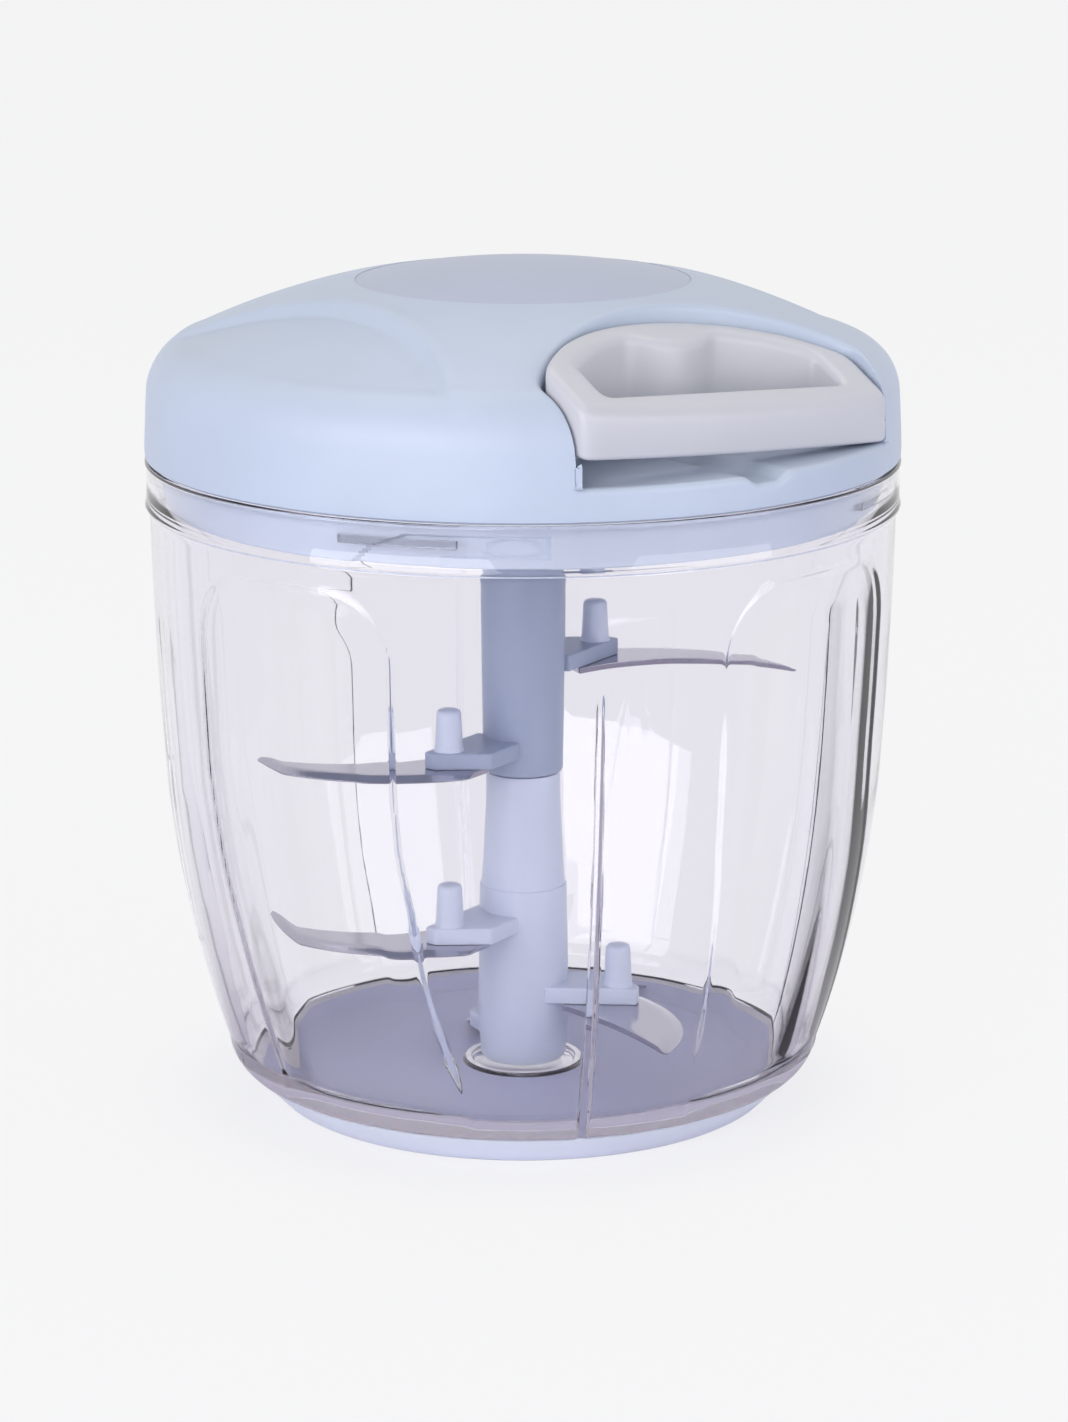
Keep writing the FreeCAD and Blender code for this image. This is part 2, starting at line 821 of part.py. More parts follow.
recess_block = common("RecessBlock", recess_prism(
    "RecessOuter", cell.recess_wall, recess_floor - cell.recess_wall), dome_solid)
boss_low = base_low + cell.base_thick + cell.seat_gap
screw_ring = skirt_bore - cell.screw_inset
screw_x = screw_ring * cosine(cell.screw_angle)
screw_y = screw_ring * sine(cell.screw_angle)
bosses = []
for side_x, side_y in ((-1, -1), (1, -1), (1, 1), (-1, 1)):
    spot = {"x": screw_x * side_x, "y": screw_y * side_y}
    number_here = len(bosses) + 1
    pillar = cylinder(f"Pillar{number_here}", cell.boss_radius,
                      apex_height - boss_low, z=boss_low, **spot)
    bosses.append(common(f"Boss{number_here}", pillar, dome_solid))
lid_whole = fuse("LidWhole", shell_body, recess_block, *bosses)

scoop_floor = one_turned("ScoopFloor", [
    (0, lid_low), (lid_radius + 1, lid_low),
    (lid_radius + 1, lid_shoulder_height),
    (lid_turn_radius - 0.1, lid_turn_height - 0.2),
    (dome_edge - 8, dome(dome_edge - 8, cell.scoop_depth * 0.9),
     cell.cap_radius, dome(cell.cap_radius, cell.scoop_depth)),
    (0, dome(cell.cap_radius, cell.scoop_depth))])
scoop_tools = []
for index, (dir_x, dir_y) in enumerate(((1, 0), (0, 1), (-1, 0)), start=1):
    disc = cylinder(f"ScoopDisc{index}", cell.scoop_radius, apex_height - lid_low,
                    x=scoop_centre * dir_x, y=scoop_centre * dir_y, z=lid_low)
    scoop_tools.append(cut(f"Scoop{index}", disc, scoop_floor))

recess_tool = new_body("RecessTool")
raised(recess_tool, "RecessPad", recess_path(0), apex_height - recess_floor,
       lift=recess_floor)
finger = cylinder("FingerGroove", cell.finger_radius, finger_reach,
                  y=-finger_reach + 2.0, z=recess_floor + cell.finger_radius
                  - cell.finger_drop, axis=(1, 0, 0), angle=90)
bush_length = cell.recess_wall + 0.5
bush_hole = cylinder("BushHole", cell.bush_radius + 0.02, cell.recess_wall + 4.0,
                     y=-cell.recess_back + cell.recess_wall + 2.0, z=cord_height,
                     axis=(1, 0, 0), angle=90)
screw_bores = []
for index, boss in enumerate(((-1, -1), (1, -1), (1, 1), (-1, 1)), start=1):
    screw_bores.append(cylinder(f"ScrewBore{index}", screw_hole, cell.screw_bite + 1.0,
                                x=screw_x * boss[0], y=screw_y * boss[1],
                                z=boss_low))
lid_tools = fuse("LidTools", recess_tool, finger, bush_hole, *scoop_tools, *screw_bores)
node("lid_shell", cut("LidShell", lid_whole, lid_tools))

cap_edge = cell.cap_radius - cell.cap_gap
node("top_cap", one_turned("TopCap", [
    (0, dome(cell.cap_radius / 100, cell.cap_sink)),
    (cell.cap_radius / 100, dome(cell.cap_radius / 100, cell.cap_sink)),
    (cap_edge / 2, dome(cap_edge / 2, cell.cap_sink), cap_edge, dome(cap_edge, cell.cap_sink)),
    (cap_edge, cap_floor + 0.02),
    (0, cap_floor + 0.02)]))
node("lid_seal", one_turned("LidSeal", ring_path(
    seal_inner, seal_outer, cell.bowl_height, cell.bowl_height + cell.seal_height)))


# Cover under the lid, held by four screws

cover_body = new_body("CoverBody")
collar_bore = cell.socket_radius + cell.side_gap
turned(cover_body, "Cover", [
    (collar_bore, base_low),
    (skirt_bore - 0.1, base_low),
    (skirt_bore - 0.1, base_low + cell.base_thick),
    (collar_bore + cell.collar_wall, base_low + cell.base_thick),
    (collar_bore + cell.collar_wall, base_collar),
    (collar_bore, base_collar)])
cover_bores = []
screws = []
head_low = base_low - cell.screw_head_height
for index, (side_x, side_y) in enumerate(((-1, -1), (1, -1), (1, 1), (-1, 1)), start=1):
    spot = {"x": screw_x * side_x, "y": screw_y * side_y}
    cover_bores.append(cylinder(f"CoverBore{index}", screw_hole, cell.base_thick + 2.0,
                                z=base_low - 1.0, **spot))
    head = cylinder(f"ScrewHead{index}", cell.screw_head_radius, cell.screw_head_height,
                    z=head_low, **spot)
    shank = cylinder(f"ScrewShank{index}", cell.screw_radius,
                     cell.screw_head_height + cell.base_thick + cell.screw_bite, z=head_low, **spot)
    screws.append(fuse(f"Screw{index}", head, shank))
node("lid_base", cut("LidBase", cover_body, fuse("CoverBores", *cover_bores)))
screw_set = doc.addObject("Part::Compound", "LidScrews")
screw_set.Links = screws
node("lid_screws", screw_set)


# Post fixings

node("centre_washer", one_turned("CentreWasher", ring_path(
    screw_hole, cell.washer_radius, washer_low, post_low)))
node("centre_screw", one_turned("CentreScrew", [
    (0, post_screw_low), (cell.screw_head_radius, post_screw_low),
    (cell.screw_head_radius, washer_low), (cell.screw_radius, washer_low),
    (cell.screw_radius, screw_top - 0.5), (0, screw_top - 0.5)]))


# Reel: cord drum over a spring cup, turning on the lid's post

hub_bore = cell.post_radius + cell.running_gap
web_low = flange_low - cell.web_thick
node("reel_drum", one_turned("ReelDrum", [
    (hub_bore, reel_top),
    (cell.hub_radius, reel_top),
    (cell.hub_radius, drum_low),
    (drum_radius - cell.drum_wall, drum_low),
    (drum_radius - cell.drum_wall, reel_top),
    (flange_radius, reel_top),
    (flange_radius, drum_high),
    (drum_radius, drum_high),
    (drum_radius, drum_low),
    (flange_radius, drum_low),
    (flange_radius, flange_low),
    (drum_radius, flange_low),
    (drum_radius, cup_low),
    (drum_radius - cell.drum_wall, cup_low),
    (drum_radius - cell.drum_wall, web_low),
    (hub_bore, web_low)]))
winding_inner = drum_radius + 0.05
winding_outer = winding_inner + cell.cord_radius * 2
node("cord_winding", one_turned("CordWinding", ring_path(
    winding_inner, winding_outer, drum_low + 0.1, drum_high - 0.1)))

socket_body = new_body("SocketBody")
turned(socket_body, "Socket", [
    (hub_bore, cup_low),
    (drum_radius, cup_low),
    (drum_radius, plate_low),
    (cell.socket_radius, plate_low),
    (cell.socket_radius, socket_low),
    (cell.socket_bore, socket_low),
    (cell.socket_bore, plate_low),
    (hub_bore, plate_low)])
rib = turned(socket_body, "Rib", ring_path(
    cell.socket_rib_bore, cell.socket_bore + 0.5, socket_low + 0.4, head_top + 0.8),
    angle=cell.rib_sweep, turn=60 - cell.rib_sweep.value / 2)
repeated(socket_body, "Ribs", rib, DOGS)
node("drive_socket", socket_body)


def spiral_strip():
    """Flat spring wound from half turns about two centres, as one strip."""
    step = cell.spring_pitch.value / 2
    half = cell.spring_strip.value / 2
    sides = []
    for offset in (half, -half):
        edges = []
        radius = cell.spring_inner.value + offset
        for turn in range(int(cell.spring_turns.value * 2)):
            centre = 0.0 if turn % 2 == 0 else step
            way = 1 if turn % 2 == 0 else -1
            edges.append(Part.Arc(
                Vector(centre + way * radius, 0, 0),
                Vector(centre, way * radius, 0),
                Vector(centre - way * radius, 0, 0)).toShape())
            radius += step
        sides.append(edges)
    outer, inner = sides
    ends = [(side[0].Vertexes[0].Point, side[-1].Vertexes[-1].Point) for side in (outer, inner)]
    closing = [Part.LineSegment(ends[0][index], ends[1][index]).toShape() for index in (0, 1)]
    wire = Part.Wire(Part.__sortEdges__(outer + inner + closing))
    return Part.Face(wire).extrude(Vector(0, 0, cell.spring_height.value))


spring = doc.addObject("Part::Feature", "RecoilSpring")
spring.Shape = spiral_strip()
place(spring, x=0, z=spring_low)
node("recoil_spring", spring)


# Pull cord: bush in the recess wall, the run through it, and the knot in the handle

bush_tube = cylinder("BushTube", cell.bush_radius, bush_length + 0.3,
                     y=-cell.recess_back + bush_length, z=cord_height, axis=(1, 0, 0), angle=90)
bush_rim = cylinder("BushRim", cell.bush_flange, cell.bush_rim,
                    y=-cell.recess_back - 0.15, z=cord_height, axis=(1, 0, 0), angle=90)
bush_through = cylinder("BushThrough", cell.bush_bore, bush_length + 4.0,
                        y=-cell.recess_back + bush_length + 2.0, z=cord_height,
                        axis=(1, 0, 0), angle=90)
node("cord_guide", cut("CordGuide", fuse("BushWhole", bush_tube, bush_rim), bush_through))

elbow_y = cell.recess_back - bush_length - cell.cord_radius - 0.4
wrap_radius = drum_radius + cell.cord_radius
leave_angle = math.degrees(math.acos(wrap_radius.value / elbow_y.value))
free_run = math.sqrt(elbow_y.value ** 2 - wrap_radius.value ** 2)
clear_run = math.sqrt((winding_outer.value + cell.cord_radius.value + 0.3) ** 2
                      - wrap_radius.value ** 2)
lead = doc.addObject("Part::Feature", "CordLead")
elbow = Vector(0, -elbow_y.value, 0)
toward = Rotation(Vector(0, 0, 1), leave_angle).multVec(Vector(0, -wrap_radius.value, 0)) - elbow
toward.normalize()
exit_y = cell.recess_back.value + 0.7
slant = Part.makeCylinder(cell.cord_radius.value, free_run - clear_run, elbow, toward)
straight = Part.makeCylinder(cell.cord_radius.value, exit_y - elbow_y.value, elbow,
                             Vector(0, -1, 0))
knuckle = Part.makeSphere(cell.cord_radius.value, elbow)
lead.Shape = slant.fuse([straight, knuckle]).removeSplitter()
place(lead, z=cord_height)
node("cord_lead", lead)

knot_y = -knot_place
stub_start = cell.recess_back + 0.9
knot_ball = ball("KnotBall", cell.knot_radius, y=knot_y, z=cord_height)
knot_stub = cylinder("KnotStub", cell.cord_radius, knot_place - stub_start,
                     y=-stub_start, z=cord_height, axis=(1, 0, 0), angle=90)
node("cord_knot", fuse("CordKnot", knot_ball, knot_stub))


# Handle: D-shaped ring cut from its plan between a curved top and bottom

handle_half = cell.recess_half_width - cell.handle_side_gap
stock_low = handle_axis - cell.handle_stock / 2
handle_curve = cell.recess_radius - cell.handle_gap


def handle_prism(name, path):
    """A plan of the handle, carried up past its sloping top and bottom."""
    body = new_body(name)
    raised(body, f"{name}Pad", path, cell.handle_stock, lift=stock_low)
    return body


handle_plan = handle_prism("HandlePlan", d_path(
    handle_half, handle_curve, cell.recess_corner, handle_front,
    cell.handle_bulge, cell.handle_front_corner))
handle_hole = handle_prism("HandleHole", d_path(
    handle_half - cell.handle_cheek, handle_curve - cell.handle_arm, cell.grip_corner, grip_front,
    front_corner=cell.grip_corner))
boss_post = common("BossPost", cylinder(
    "BossPillar", cell.handle_boss, cell.handle_stock, y=-boss_place, z=stock_low),
    handle_plan)
handle_frame = cut("HandleFrame", handle_plan, handle_hole)
slab_body = new_body("HandleSlab")
slab_front = -handle_front - cell.handle_bulge * 2
slab_middle = -(cell.recess_back + handle_front) / 2
slab_start = (-cell.recess_back, cell.handle_low_back)
slab_outline = sketch(slab_body, "YZ_Plane", "SlabOutline", [
    slab_start,
    (-cell.recess_back, cell.handle_top_back),
    (slab_middle, cell.handle_top_middle, slab_front, cell.handle_top_front),
    (slab_front, cell.handle_low_front),
    (slab_middle, cell.handle_low_middle, *slab_start)])
slab_pad = slab_body.newObject("PartDesign::Pad", "SlabPad")
slab_pad.Profile = slab_outline
slab_pad.SideType = "Symmetric"
bind(slab_pad, "Length", handle_half * 3)
place(slab_body, z=handle_axis, axis=(0, 1, 0), angle=cell.handle_roll)
handle_sloped = common("HandleSloped", fuse("HandleRing", handle_frame, boss_post), slab_body)
knot_bore = cylinder("KnotBore", cell.cord_radius + cell.side_gap, cell.knot_inset,
                     y=-cell.recess_back, z=cord_height, axis=(1, 0, 0), angle=90)
pocket_start = knot_place - cell.knot_radius - 0.1
pocket_end = boss_place + cell.handle_boss + 1.0
knot_pocket = cylinder("KnotPocket", cell.knot_pocket, pocket_end - pocket_start,
                       y=-pocket_start, z=cord_height, axis=(1, 0, 0), angle=90)
node("handle", cut("Handle", handle_sloped, fuse("KnotTools", knot_bore, knot_pocket)))


# Spindle: two mouldings on one pivot, with a holder for each blade

def tab(body, name, high, angle):
    """Flat holder that reaches out beside the spindle, drilled for its peg."""
    raised(body, name, [
        (cell.tab_root_u, cell.tab_root_v),
        (cell.tab_heel_u, cell.tab_heel_v),
        (cell.tab_nose_u, cell.tab_nose_v),
        (cell.tab_tip_u, cell.tab_tip_v),
        (cell.tab_back_u, cell.tab_back_v),
        (cell.tab_side_u, cell.tab_side_v)],
        cell.tab_thick, holes=[(cell.peg_u, cell.peg_v, cell.peg_shank + cell.peg_fit)],
        lift=high - cell.tab_thick, turn=angle)


def hold_blades(body, side):
    """The holders of one moulding."""
    for label, (level, base_angle, extra) in HOLDERS.items():
        if label.startswith(side):
            tab(body, level.title().replace("_", ""), getattr(cell, level),
                getattr(cell, base_angle) + extra)


lower_body = new_body("LowerSpindle")
pin_bore = cell.pin_radius + cell.running_gap
turned(lower_body, "LowerCore", [
    (pin_bore, spindle_low),
    (cell.spindle_foot - cell.spindle_chamfer, spindle_low),
    (cell.spindle_foot, spindle_low + cell.spindle_chamfer),
    (cell.spindle_belly, cell.spindle_belly_height),
    (cell.spindle_step_radius, cell.spindle_step),
    (cell.sleeve_radius, cell.spindle_step),
    (cell.sleeve_waist, cell.sleeve_waist_height),
    (cell.sleeve_waist, cell.joint_height - cell.seat_gap),
    (cell.spigot_radius, cell.joint_height - cell.seat_gap),
    (cell.spigot_radius, spigot_top),
    (0, spigot_top),
    (0, pin_top + 1),
    (pin_bore, pin_top + 1)])
hold_blades(lower_body, "lower")
node("lower_spindle", lower_body)

upper_body = new_body("UpperSpindle")
turned(upper_body, "UpperCore", [
    (cell.spigot_radius + 0.05, cell.joint_height),
    (cell.upper_foot, cell.joint_height),
    (cell.upper_foot, cell.joint_height + cell.upper_foot_height),
    (cell.upper_radius, cell.upper_radius_height),
    (cell.upper_radius, shoulder_top),
    (cell.head_radius, shoulder_top),
    (cell.head_radius, head_top),
    (0, head_top),
    (0, spigot_top + 0.6),
    (cell.spigot_radius + 0.05, spigot_top + 0.6)])
hold_blades(upper_body, "upper")
dog = turned(upper_body, "Dog", ring_path(
    cell.head_radius - 0.5, cell.dog_radius, shoulder_top + cell.dog_lift, head_top - 0.5),
    angle=cell.rib_sweep, turn=0 - cell.rib_sweep.value / 2)
repeated(upper_body, "Dogs", dog, DOGS)
node("upper_spindle", upper_body)


# Blades: curved plates with a ground edge, each under its own holder

def circle_through(first, second, third):
    """Centre and radius of the circle through three plan points."""
    ring = Part.Circle(*[Vector(number(u), number(v), 0) for u, v in (first, second, third)])
    return ring.Center, ring.Radius


def blade(label, level, base_angle, extra):
    """One blade: plate with a rounded root, a concave back and a bevelled edge."""
    name = f"Blade{label.title().replace('_', '')}"
    low = getattr(cell, level) - cell.tab_thick - cell.blade_thick
    angle = getattr(cell, base_angle) + extra
    tip_u = cell.neck_radius - getattr(cell, f"{label}_short")
    tip_v = getattr(cell, f"{label}_tip")
    middle = tip_u - getattr(cell, f"{label}_middle")
    edge_middle = (middle, getattr(cell, f"{label}_edge"))
    edge_start = (cell.blade_edge_u, cell.blade_edge_v)
    body = new_body(f"{name}Plate")
    raised(body, f"{name}Pad", [
        (cell.blade_back_u, cell.blade_back_v),
        (middle, getattr(cell, f"{label}_back"),
         tip_u - cell.blade_tip_cut_u, tip_v - cell.blade_tip_cut_v),
        (tip_u, tip_v),
        (*edge_middle, *edge_start),
        (cell.blade_side_u, cell.blade_side_v)],
        cell.blade_thick, holes=[(cell.peg_u, cell.peg_v, cell.peg_shank + cell.peg_fit)],
        lift=low, turn=angle)
    centre, radius = circle_through((tip_u, tip_v), edge_middle, edge_start)
    ground = cone(f"{name}Ground", radius, radius - cell.blade_bevel.value, cell.blade_thick)
    blank = cylinder(f"{name}Blank", radius + cell.blade_bevel.value, cell.blade_thick)
    bevel = cut(f"{name}Bevel", blank, ground)
    spot = Rotation(Vector(0, 0, 1), angle.value).multVec(centre)
    for tool in (ground, blank):
        place(tool, x=spot.x, y=spot.y, z=low)
    node(f"blade_{label}", cut(name, body, bevel))


for label, holder in HOLDERS.items():
    blade(label, *holder)

pegs = []
for label, (level, base_angle, extra) in HOLDERS.items():
    name = f"Peg{label.title().replace('_', '')}"
    angle = getattr(cell, base_angle) + extra
    spot = {"x": cell.peg_u * cosine(angle) - cell.peg_v * sine(angle),
            "y": cell.peg_u * sine(angle) + cell.peg_v * cosine(angle)}
    high = getattr(cell, level)
    low = high - cell.tab_thick - cell.blade_thick - cell.rivet_height
    pegs.append(fuse(
        name,
        cone(f"{name}Head", cell.peg_foot, cell.peg_tip, cell.peg_height, z=high, **spot),
        cylinder(f"{name}Shank", cell.peg_shank, high - low, z=low, **spot),
        cylinder(f"{name}Rivet", cell.peg_rivet, cell.rivet_height, z=low, **spot)))
peg_set = doc.addObject("Part::Compound", "BladePegs")
peg_set.Links = pegs
node("blade_pegs", peg_set)


# Check every object, then write one file per piece

doc.recompute()
broken = [thing.Name for thing in doc.Objects
          if "Invalid" in thing.State or "Error" in thing.State]
if broken:
    raise RuntimeError(f"objects failed: {broken}")
for label, solid in nodes.items():
    if solid.Shape.isNull() or not solid.Shape.isValid():
        raise RuntimeError(f"{label} has no valid shape")
os.makedirs("parts", exist_ok=True)
for label, solid in nodes.items():
    solid.Shape.exportStep(f"parts/{label}.step")
    print(f"{label}: {len(solid.Shape.Solids)} solids, {solid.Shape.Volume:.1f} mm3")
strip_gap = SIZES["spring_pitch"] - SIZES["spring_strip"]
print(f"recoil spring: least gap between turns {strip_gap:.2f} mm")
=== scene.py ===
"""Looks of the pull cord food chopper: meshes in the CAD frame, materials, light and camera."""
import math
import bmesh
import bpy
import numpy as np
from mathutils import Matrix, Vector
from mathutils.geometry import delaunay_2d_cdt


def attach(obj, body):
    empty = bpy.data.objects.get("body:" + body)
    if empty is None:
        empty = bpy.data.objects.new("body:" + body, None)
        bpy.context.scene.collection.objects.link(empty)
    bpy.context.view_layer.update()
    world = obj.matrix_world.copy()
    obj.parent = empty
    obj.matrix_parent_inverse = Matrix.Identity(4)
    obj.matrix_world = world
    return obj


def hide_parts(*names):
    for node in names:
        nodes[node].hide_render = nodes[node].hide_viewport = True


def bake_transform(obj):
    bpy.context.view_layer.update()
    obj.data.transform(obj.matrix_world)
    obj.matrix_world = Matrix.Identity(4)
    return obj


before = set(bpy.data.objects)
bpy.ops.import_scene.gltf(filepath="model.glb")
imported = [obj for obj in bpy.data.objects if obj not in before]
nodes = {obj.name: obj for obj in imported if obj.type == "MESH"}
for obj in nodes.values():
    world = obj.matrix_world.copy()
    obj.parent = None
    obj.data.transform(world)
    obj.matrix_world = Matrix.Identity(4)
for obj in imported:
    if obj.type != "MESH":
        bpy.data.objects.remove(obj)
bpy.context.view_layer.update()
MM = 0.001


# Small geometry helpers, in millimetres

def smoothstep(low, high, value):
    """0 below low, 1 above high, smooth between."""
    t = np.clip((np.asarray(value, float) - low) / (high - low), 0, 1)
    return t * t * (3 - 2 * t)


def arc(start, middle, end, count=12):
    """Points on the circle through three points, from the first to the last."""
    (ax, ay), (bx, by), (cx, cy) = start, middle, end
    d = 2 * (ax * (by - cy) + bx * (cy - ay) + cx * (ay - by))
    ux = ((ax**2 + ay**2) * (by - cy) + (bx**2 + by**2) * (cy - ay)
          + (cx**2 + cy**2) * (ay - by)) / d
    uy = ((ax**2 + ay**2) * (cx - bx) + (bx**2 + by**2) * (ax - cx)
          + (cx**2 + cy**2) * (bx - ax)) / d
    radius = math.hypot(ax - ux, ay - uy)
    angles = np.unwrap([math.atan2(y - uy, x - ux) for x, y in (start, middle, end)])
    sweep = np.linspace(angles[0], angles[2], count)
    return [(ux + radius * math.cos(t), uy + radius * math.sin(t)) for t in sweep]


def resample(points, step, closed=False):
    """Points along a polyline at an even step."""
    points = np.asarray(points, float)
    if closed:
        points = np.vstack([points, points[:1]])
    length = np.concatenate([[0], np.cumsum(np.linalg.norm(np.diff(points, axis=0), axis=1))])
    count = max(3, int(round(length[-1] / step)))
    at = np.linspace(0, length[-1], count + 1)
    if closed:
        at = at[:-1]
    return np.stack([np.interp(at, length, points[:, k]) for k in range(points.shape[1])], 1)


def rounded(points, step, blur):
    """A closed outline with its corners rounded off."""
    loop = resample(points, step, closed=True)
    reach = int(3 * blur / step) + 1
    offsets = np.arange(-reach, reach + 1)
    weights = np.exp(-0.5 * (offsets * step / blur) ** 2)
    weights /= weights.sum()
    return sum(w * np.roll(loop, -k, axis=0) for k, w in zip(offsets, weights))


def outward(loop):
    """Unit normals of a closed outline, pointing away from its inside."""
    tangent = np.roll(loop, -1, axis=0) - np.roll(loop, 1, axis=0)
    tangent /= np.linalg.norm(tangent, axis=1, keepdims=True)
    normal = np.stack([tangent[:, 1], -tangent[:, 0]], 1)
    return normal if area(loop) > 0 else -normal


def area(loop):
    """Signed area of a closed outline."""
    x, y = loop[:, 0], loop[:, 1]
    return 0.5 * float(np.sum(x * np.roll(y, -1) - y * np.roll(x, -1)))


def inside(points, loop):
    """Which points lie inside a closed outline."""
    found = np.zeros(len(points), bool)
    px, py = points[:, 0], points[:, 1]
    for (ax, ay), (bx, by) in zip(loop, np.roll(loop, -1, axis=0)):
        if ay == by:
            continue
        crosses = (ay > py) != (by > py)
        found ^= crosses & (px < (bx - ax) * (py - ay) / (by - ay) + ax)
    return found


def near(points, loop, gap):
    """Which points lie nearer to an outline than a gap."""
    close = np.zeros(len(points), bool)
    for start in range(0, len(points), 4000):
        block = points[start:start + 4000]
        away = np.linalg.norm(block[:, None, :] - loop[None, :, :], axis=2).min(axis=1)
        close[start:start + 4000] = away < gap
    return close


def fill(outer, holes=(), extra=None):
    """Triangles of the flat region inside an outline and outside its holes."""
    loops = [outer, *holes]
    points = np.vstack(loops)
    edges = []
    first = 0
    for loop in loops:
        count = len(loop)
        edges += [(first + k, first + (k + 1) % count) for k in range(count)]
        first += count
    if extra is not None and len(extra):
        keep = inside(extra, outer)
        for hole in holes:
            keep &= ~inside(extra, hole)
        extra = extra[keep]
        extra = extra[~near(extra, points, 0.3)]
        points = np.vstack([points, extra])
    verts, _, faces, *_ = delaunay_2d_cdt([Vector(p) for p in points], edges, [], 0, 1e-7)
    verts = np.array([tuple(v) for v in verts])
    faces = np.array([tuple(f) for f in faces])
    middles = verts[faces].mean(axis=1)
    keep = inside(middles, outer)
    for hole in holes:
        keep &= ~inside(middles, hole)
    return verts, faces[keep]


def scatter(low, high, step):
    """A staggered grid of points over a rectangle."""
    rows = np.arange(low[1], high[1], step * 0.87)
    found = [np.stack([np.arange(low[0], high[0], step) + (k % 2) * step / 2,
                       np.full(len(np.arange(low[0], high[0], step)), y)], 1)
             for k, y in enumerate(rows)]
    return np.vstack(found)


# Mesh building

class Builder:
    """Collects vertices in millimetres and faces, then makes one object."""

    def __init__(self):
        self.verts = []
        self.faces = []
        self.count = 0

    def add(self, verts):
        """Adds vertices and returns the index of the first."""
        verts = np.asarray(verts, float).reshape(-1, 3)
        first = self.count
        self.verts.append(verts)
        self.count += len(verts)
        return first

    def strip(self, row_a, row_b, closed=True):
        """Quads between two rows of vertex indices."""
        count = len(row_a)
        for k in range(count if closed else count - 1):
            n = (k + 1) % count
            self.faces.append((row_a[k], row_a[n], row_b[n], row_b[k]))

    def cap(self, row, point):
        """A fan from a closed row to one point."""
        tip = self.add([point])
        count = len(row)
        self.faces += [(row[k], row[(k + 1) % count], tip) for k in range(count)]

    def grid(self, rows, closed=True):
        """A surface through rows of points; returns the rows of indices."""
        indices = []
        for row in rows:
            first = self.add(row)
            indices.append(list(range(first, first + len(row))))
        for a, b in zip(indices, indices[1:]):
            self.strip(a, b, closed)
        return indices

    def turn(self, path, segments=96, centre=(0, 0, 0), low_cap=None, high_cap=None):
        """A path of (radius, height) turned round a vertical axis."""
        angles = np.arange(segments) * 2 * math.pi / segments
        ring = np.stack([np.cos(angles), np.sin(angles)], 1)
        rows = []
        for radius, height in path:
            flat = ring * radius + np.array(centre[:2])
            rows.append(np.column_stack([flat, np.full(segments, height + centre[2])]))
        indices = self.grid(rows)
        if low_cap is not None:
            self.cap(indices[0][::-1], (centre[0], centre[1], low_cap + centre[2]))
        if high_cap is not None:
            self.cap(indices[-1], (centre[0], centre[1], high_cap + centre[2]))
        return indices

    def slab(self, outer, holes, high, low, edge_high, edge_low, step=1.0, place=None):
        """A plate between two height fields, with rounded rims, from outlines in plan."""
        loops = [(outer, outward(outer))] + [(hole, -outward(hole)) for hole in holes]
        tops = []
        lows = []
        for loop, away in loops:
            rows = []
            for t in np.linspace(0, math.pi / 2, 5):
                flat = loop - away * edge_high * (1 - math.cos(t))
                rows.append((flat, high(flat) - edge_high * (1 - math.sin(t))))
            below = []
            for t in np.linspace(math.pi / 2, 0, 5):
                flat = loop - away * edge_low * (1 - math.cos(t))
                below.append((flat, low(flat) + edge_low * (1 - math.sin(t))))
            column = below + rows
            stack = [self.put(flat, z, place) for flat, z in column]
            if (area(loop) > 0) != (loop is outer):
                stack = [row[::-1] for row in stack]
            for a, b in zip(stack, stack[1:]):
                self.strip(a, b)
            lows.append(below[0][0])
            tops.append(rows[-1][0])
        extra = scatter(outer.min(axis=0), outer.max(axis=0), step)
        for field, edges, flip in ((high, tops, False), (low, lows, True)):
            flat, faces = fill(edges[0], edges[1:], extra)
            first = self.put(flat, field(flat), place)[0]
            faces = faces[:, ::-1] if flip else faces
            self.faces += [tuple(int(first + i) for i in f) for f in faces]

    def put(self, flat, z, place):
        """Adds points of a plan at heights, moved by a function; returns their indices."""
        points = np.column_stack([flat, np.broadcast_to(z, len(flat))])
        if place is not None:
            points = place(points)
        first = self.add(points)
        return list(range(first, first + len(points)))

    def object(self, name, body, slot, material, replaces=(), sharp=40, weld=0.0004):
        """The finished object, riding on a body."""
        mesh = bpy.data.meshes.new(name)
        verts = np.vstack(self.verts) * MM
        mesh.from_pydata(verts.tolist(), [], self.faces)
        piece = bpy.data.objects.new(name, mesh)
        bpy.context.scene.collection.objects.link(piece)
        work = bmesh.new()
        work.from_mesh(mesh)
        bmesh.ops.remove_doubles(work, verts=work.verts, dist=weld * MM)
        bmesh.ops.recalc_face_normals(work, faces=work.faces)
        for face in work.faces:
            face.smooth = True
        work.to_mesh(mesh)
        work.free()
        mesh.set_sharp_from_angle(angle=math.radians(sharp))
        mesh.materials.append(material)
        if replaces:
            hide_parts(*replaces)
        if body:
            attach(piece, body)
        return piece


# Materials

def material(name):
    """A new node material with its shader."""
    made = bpy.data.materials.new(name)
    made.use_nodes = True
    return made, made.node_tree, made.node_tree.nodes["Principled BSDF"]


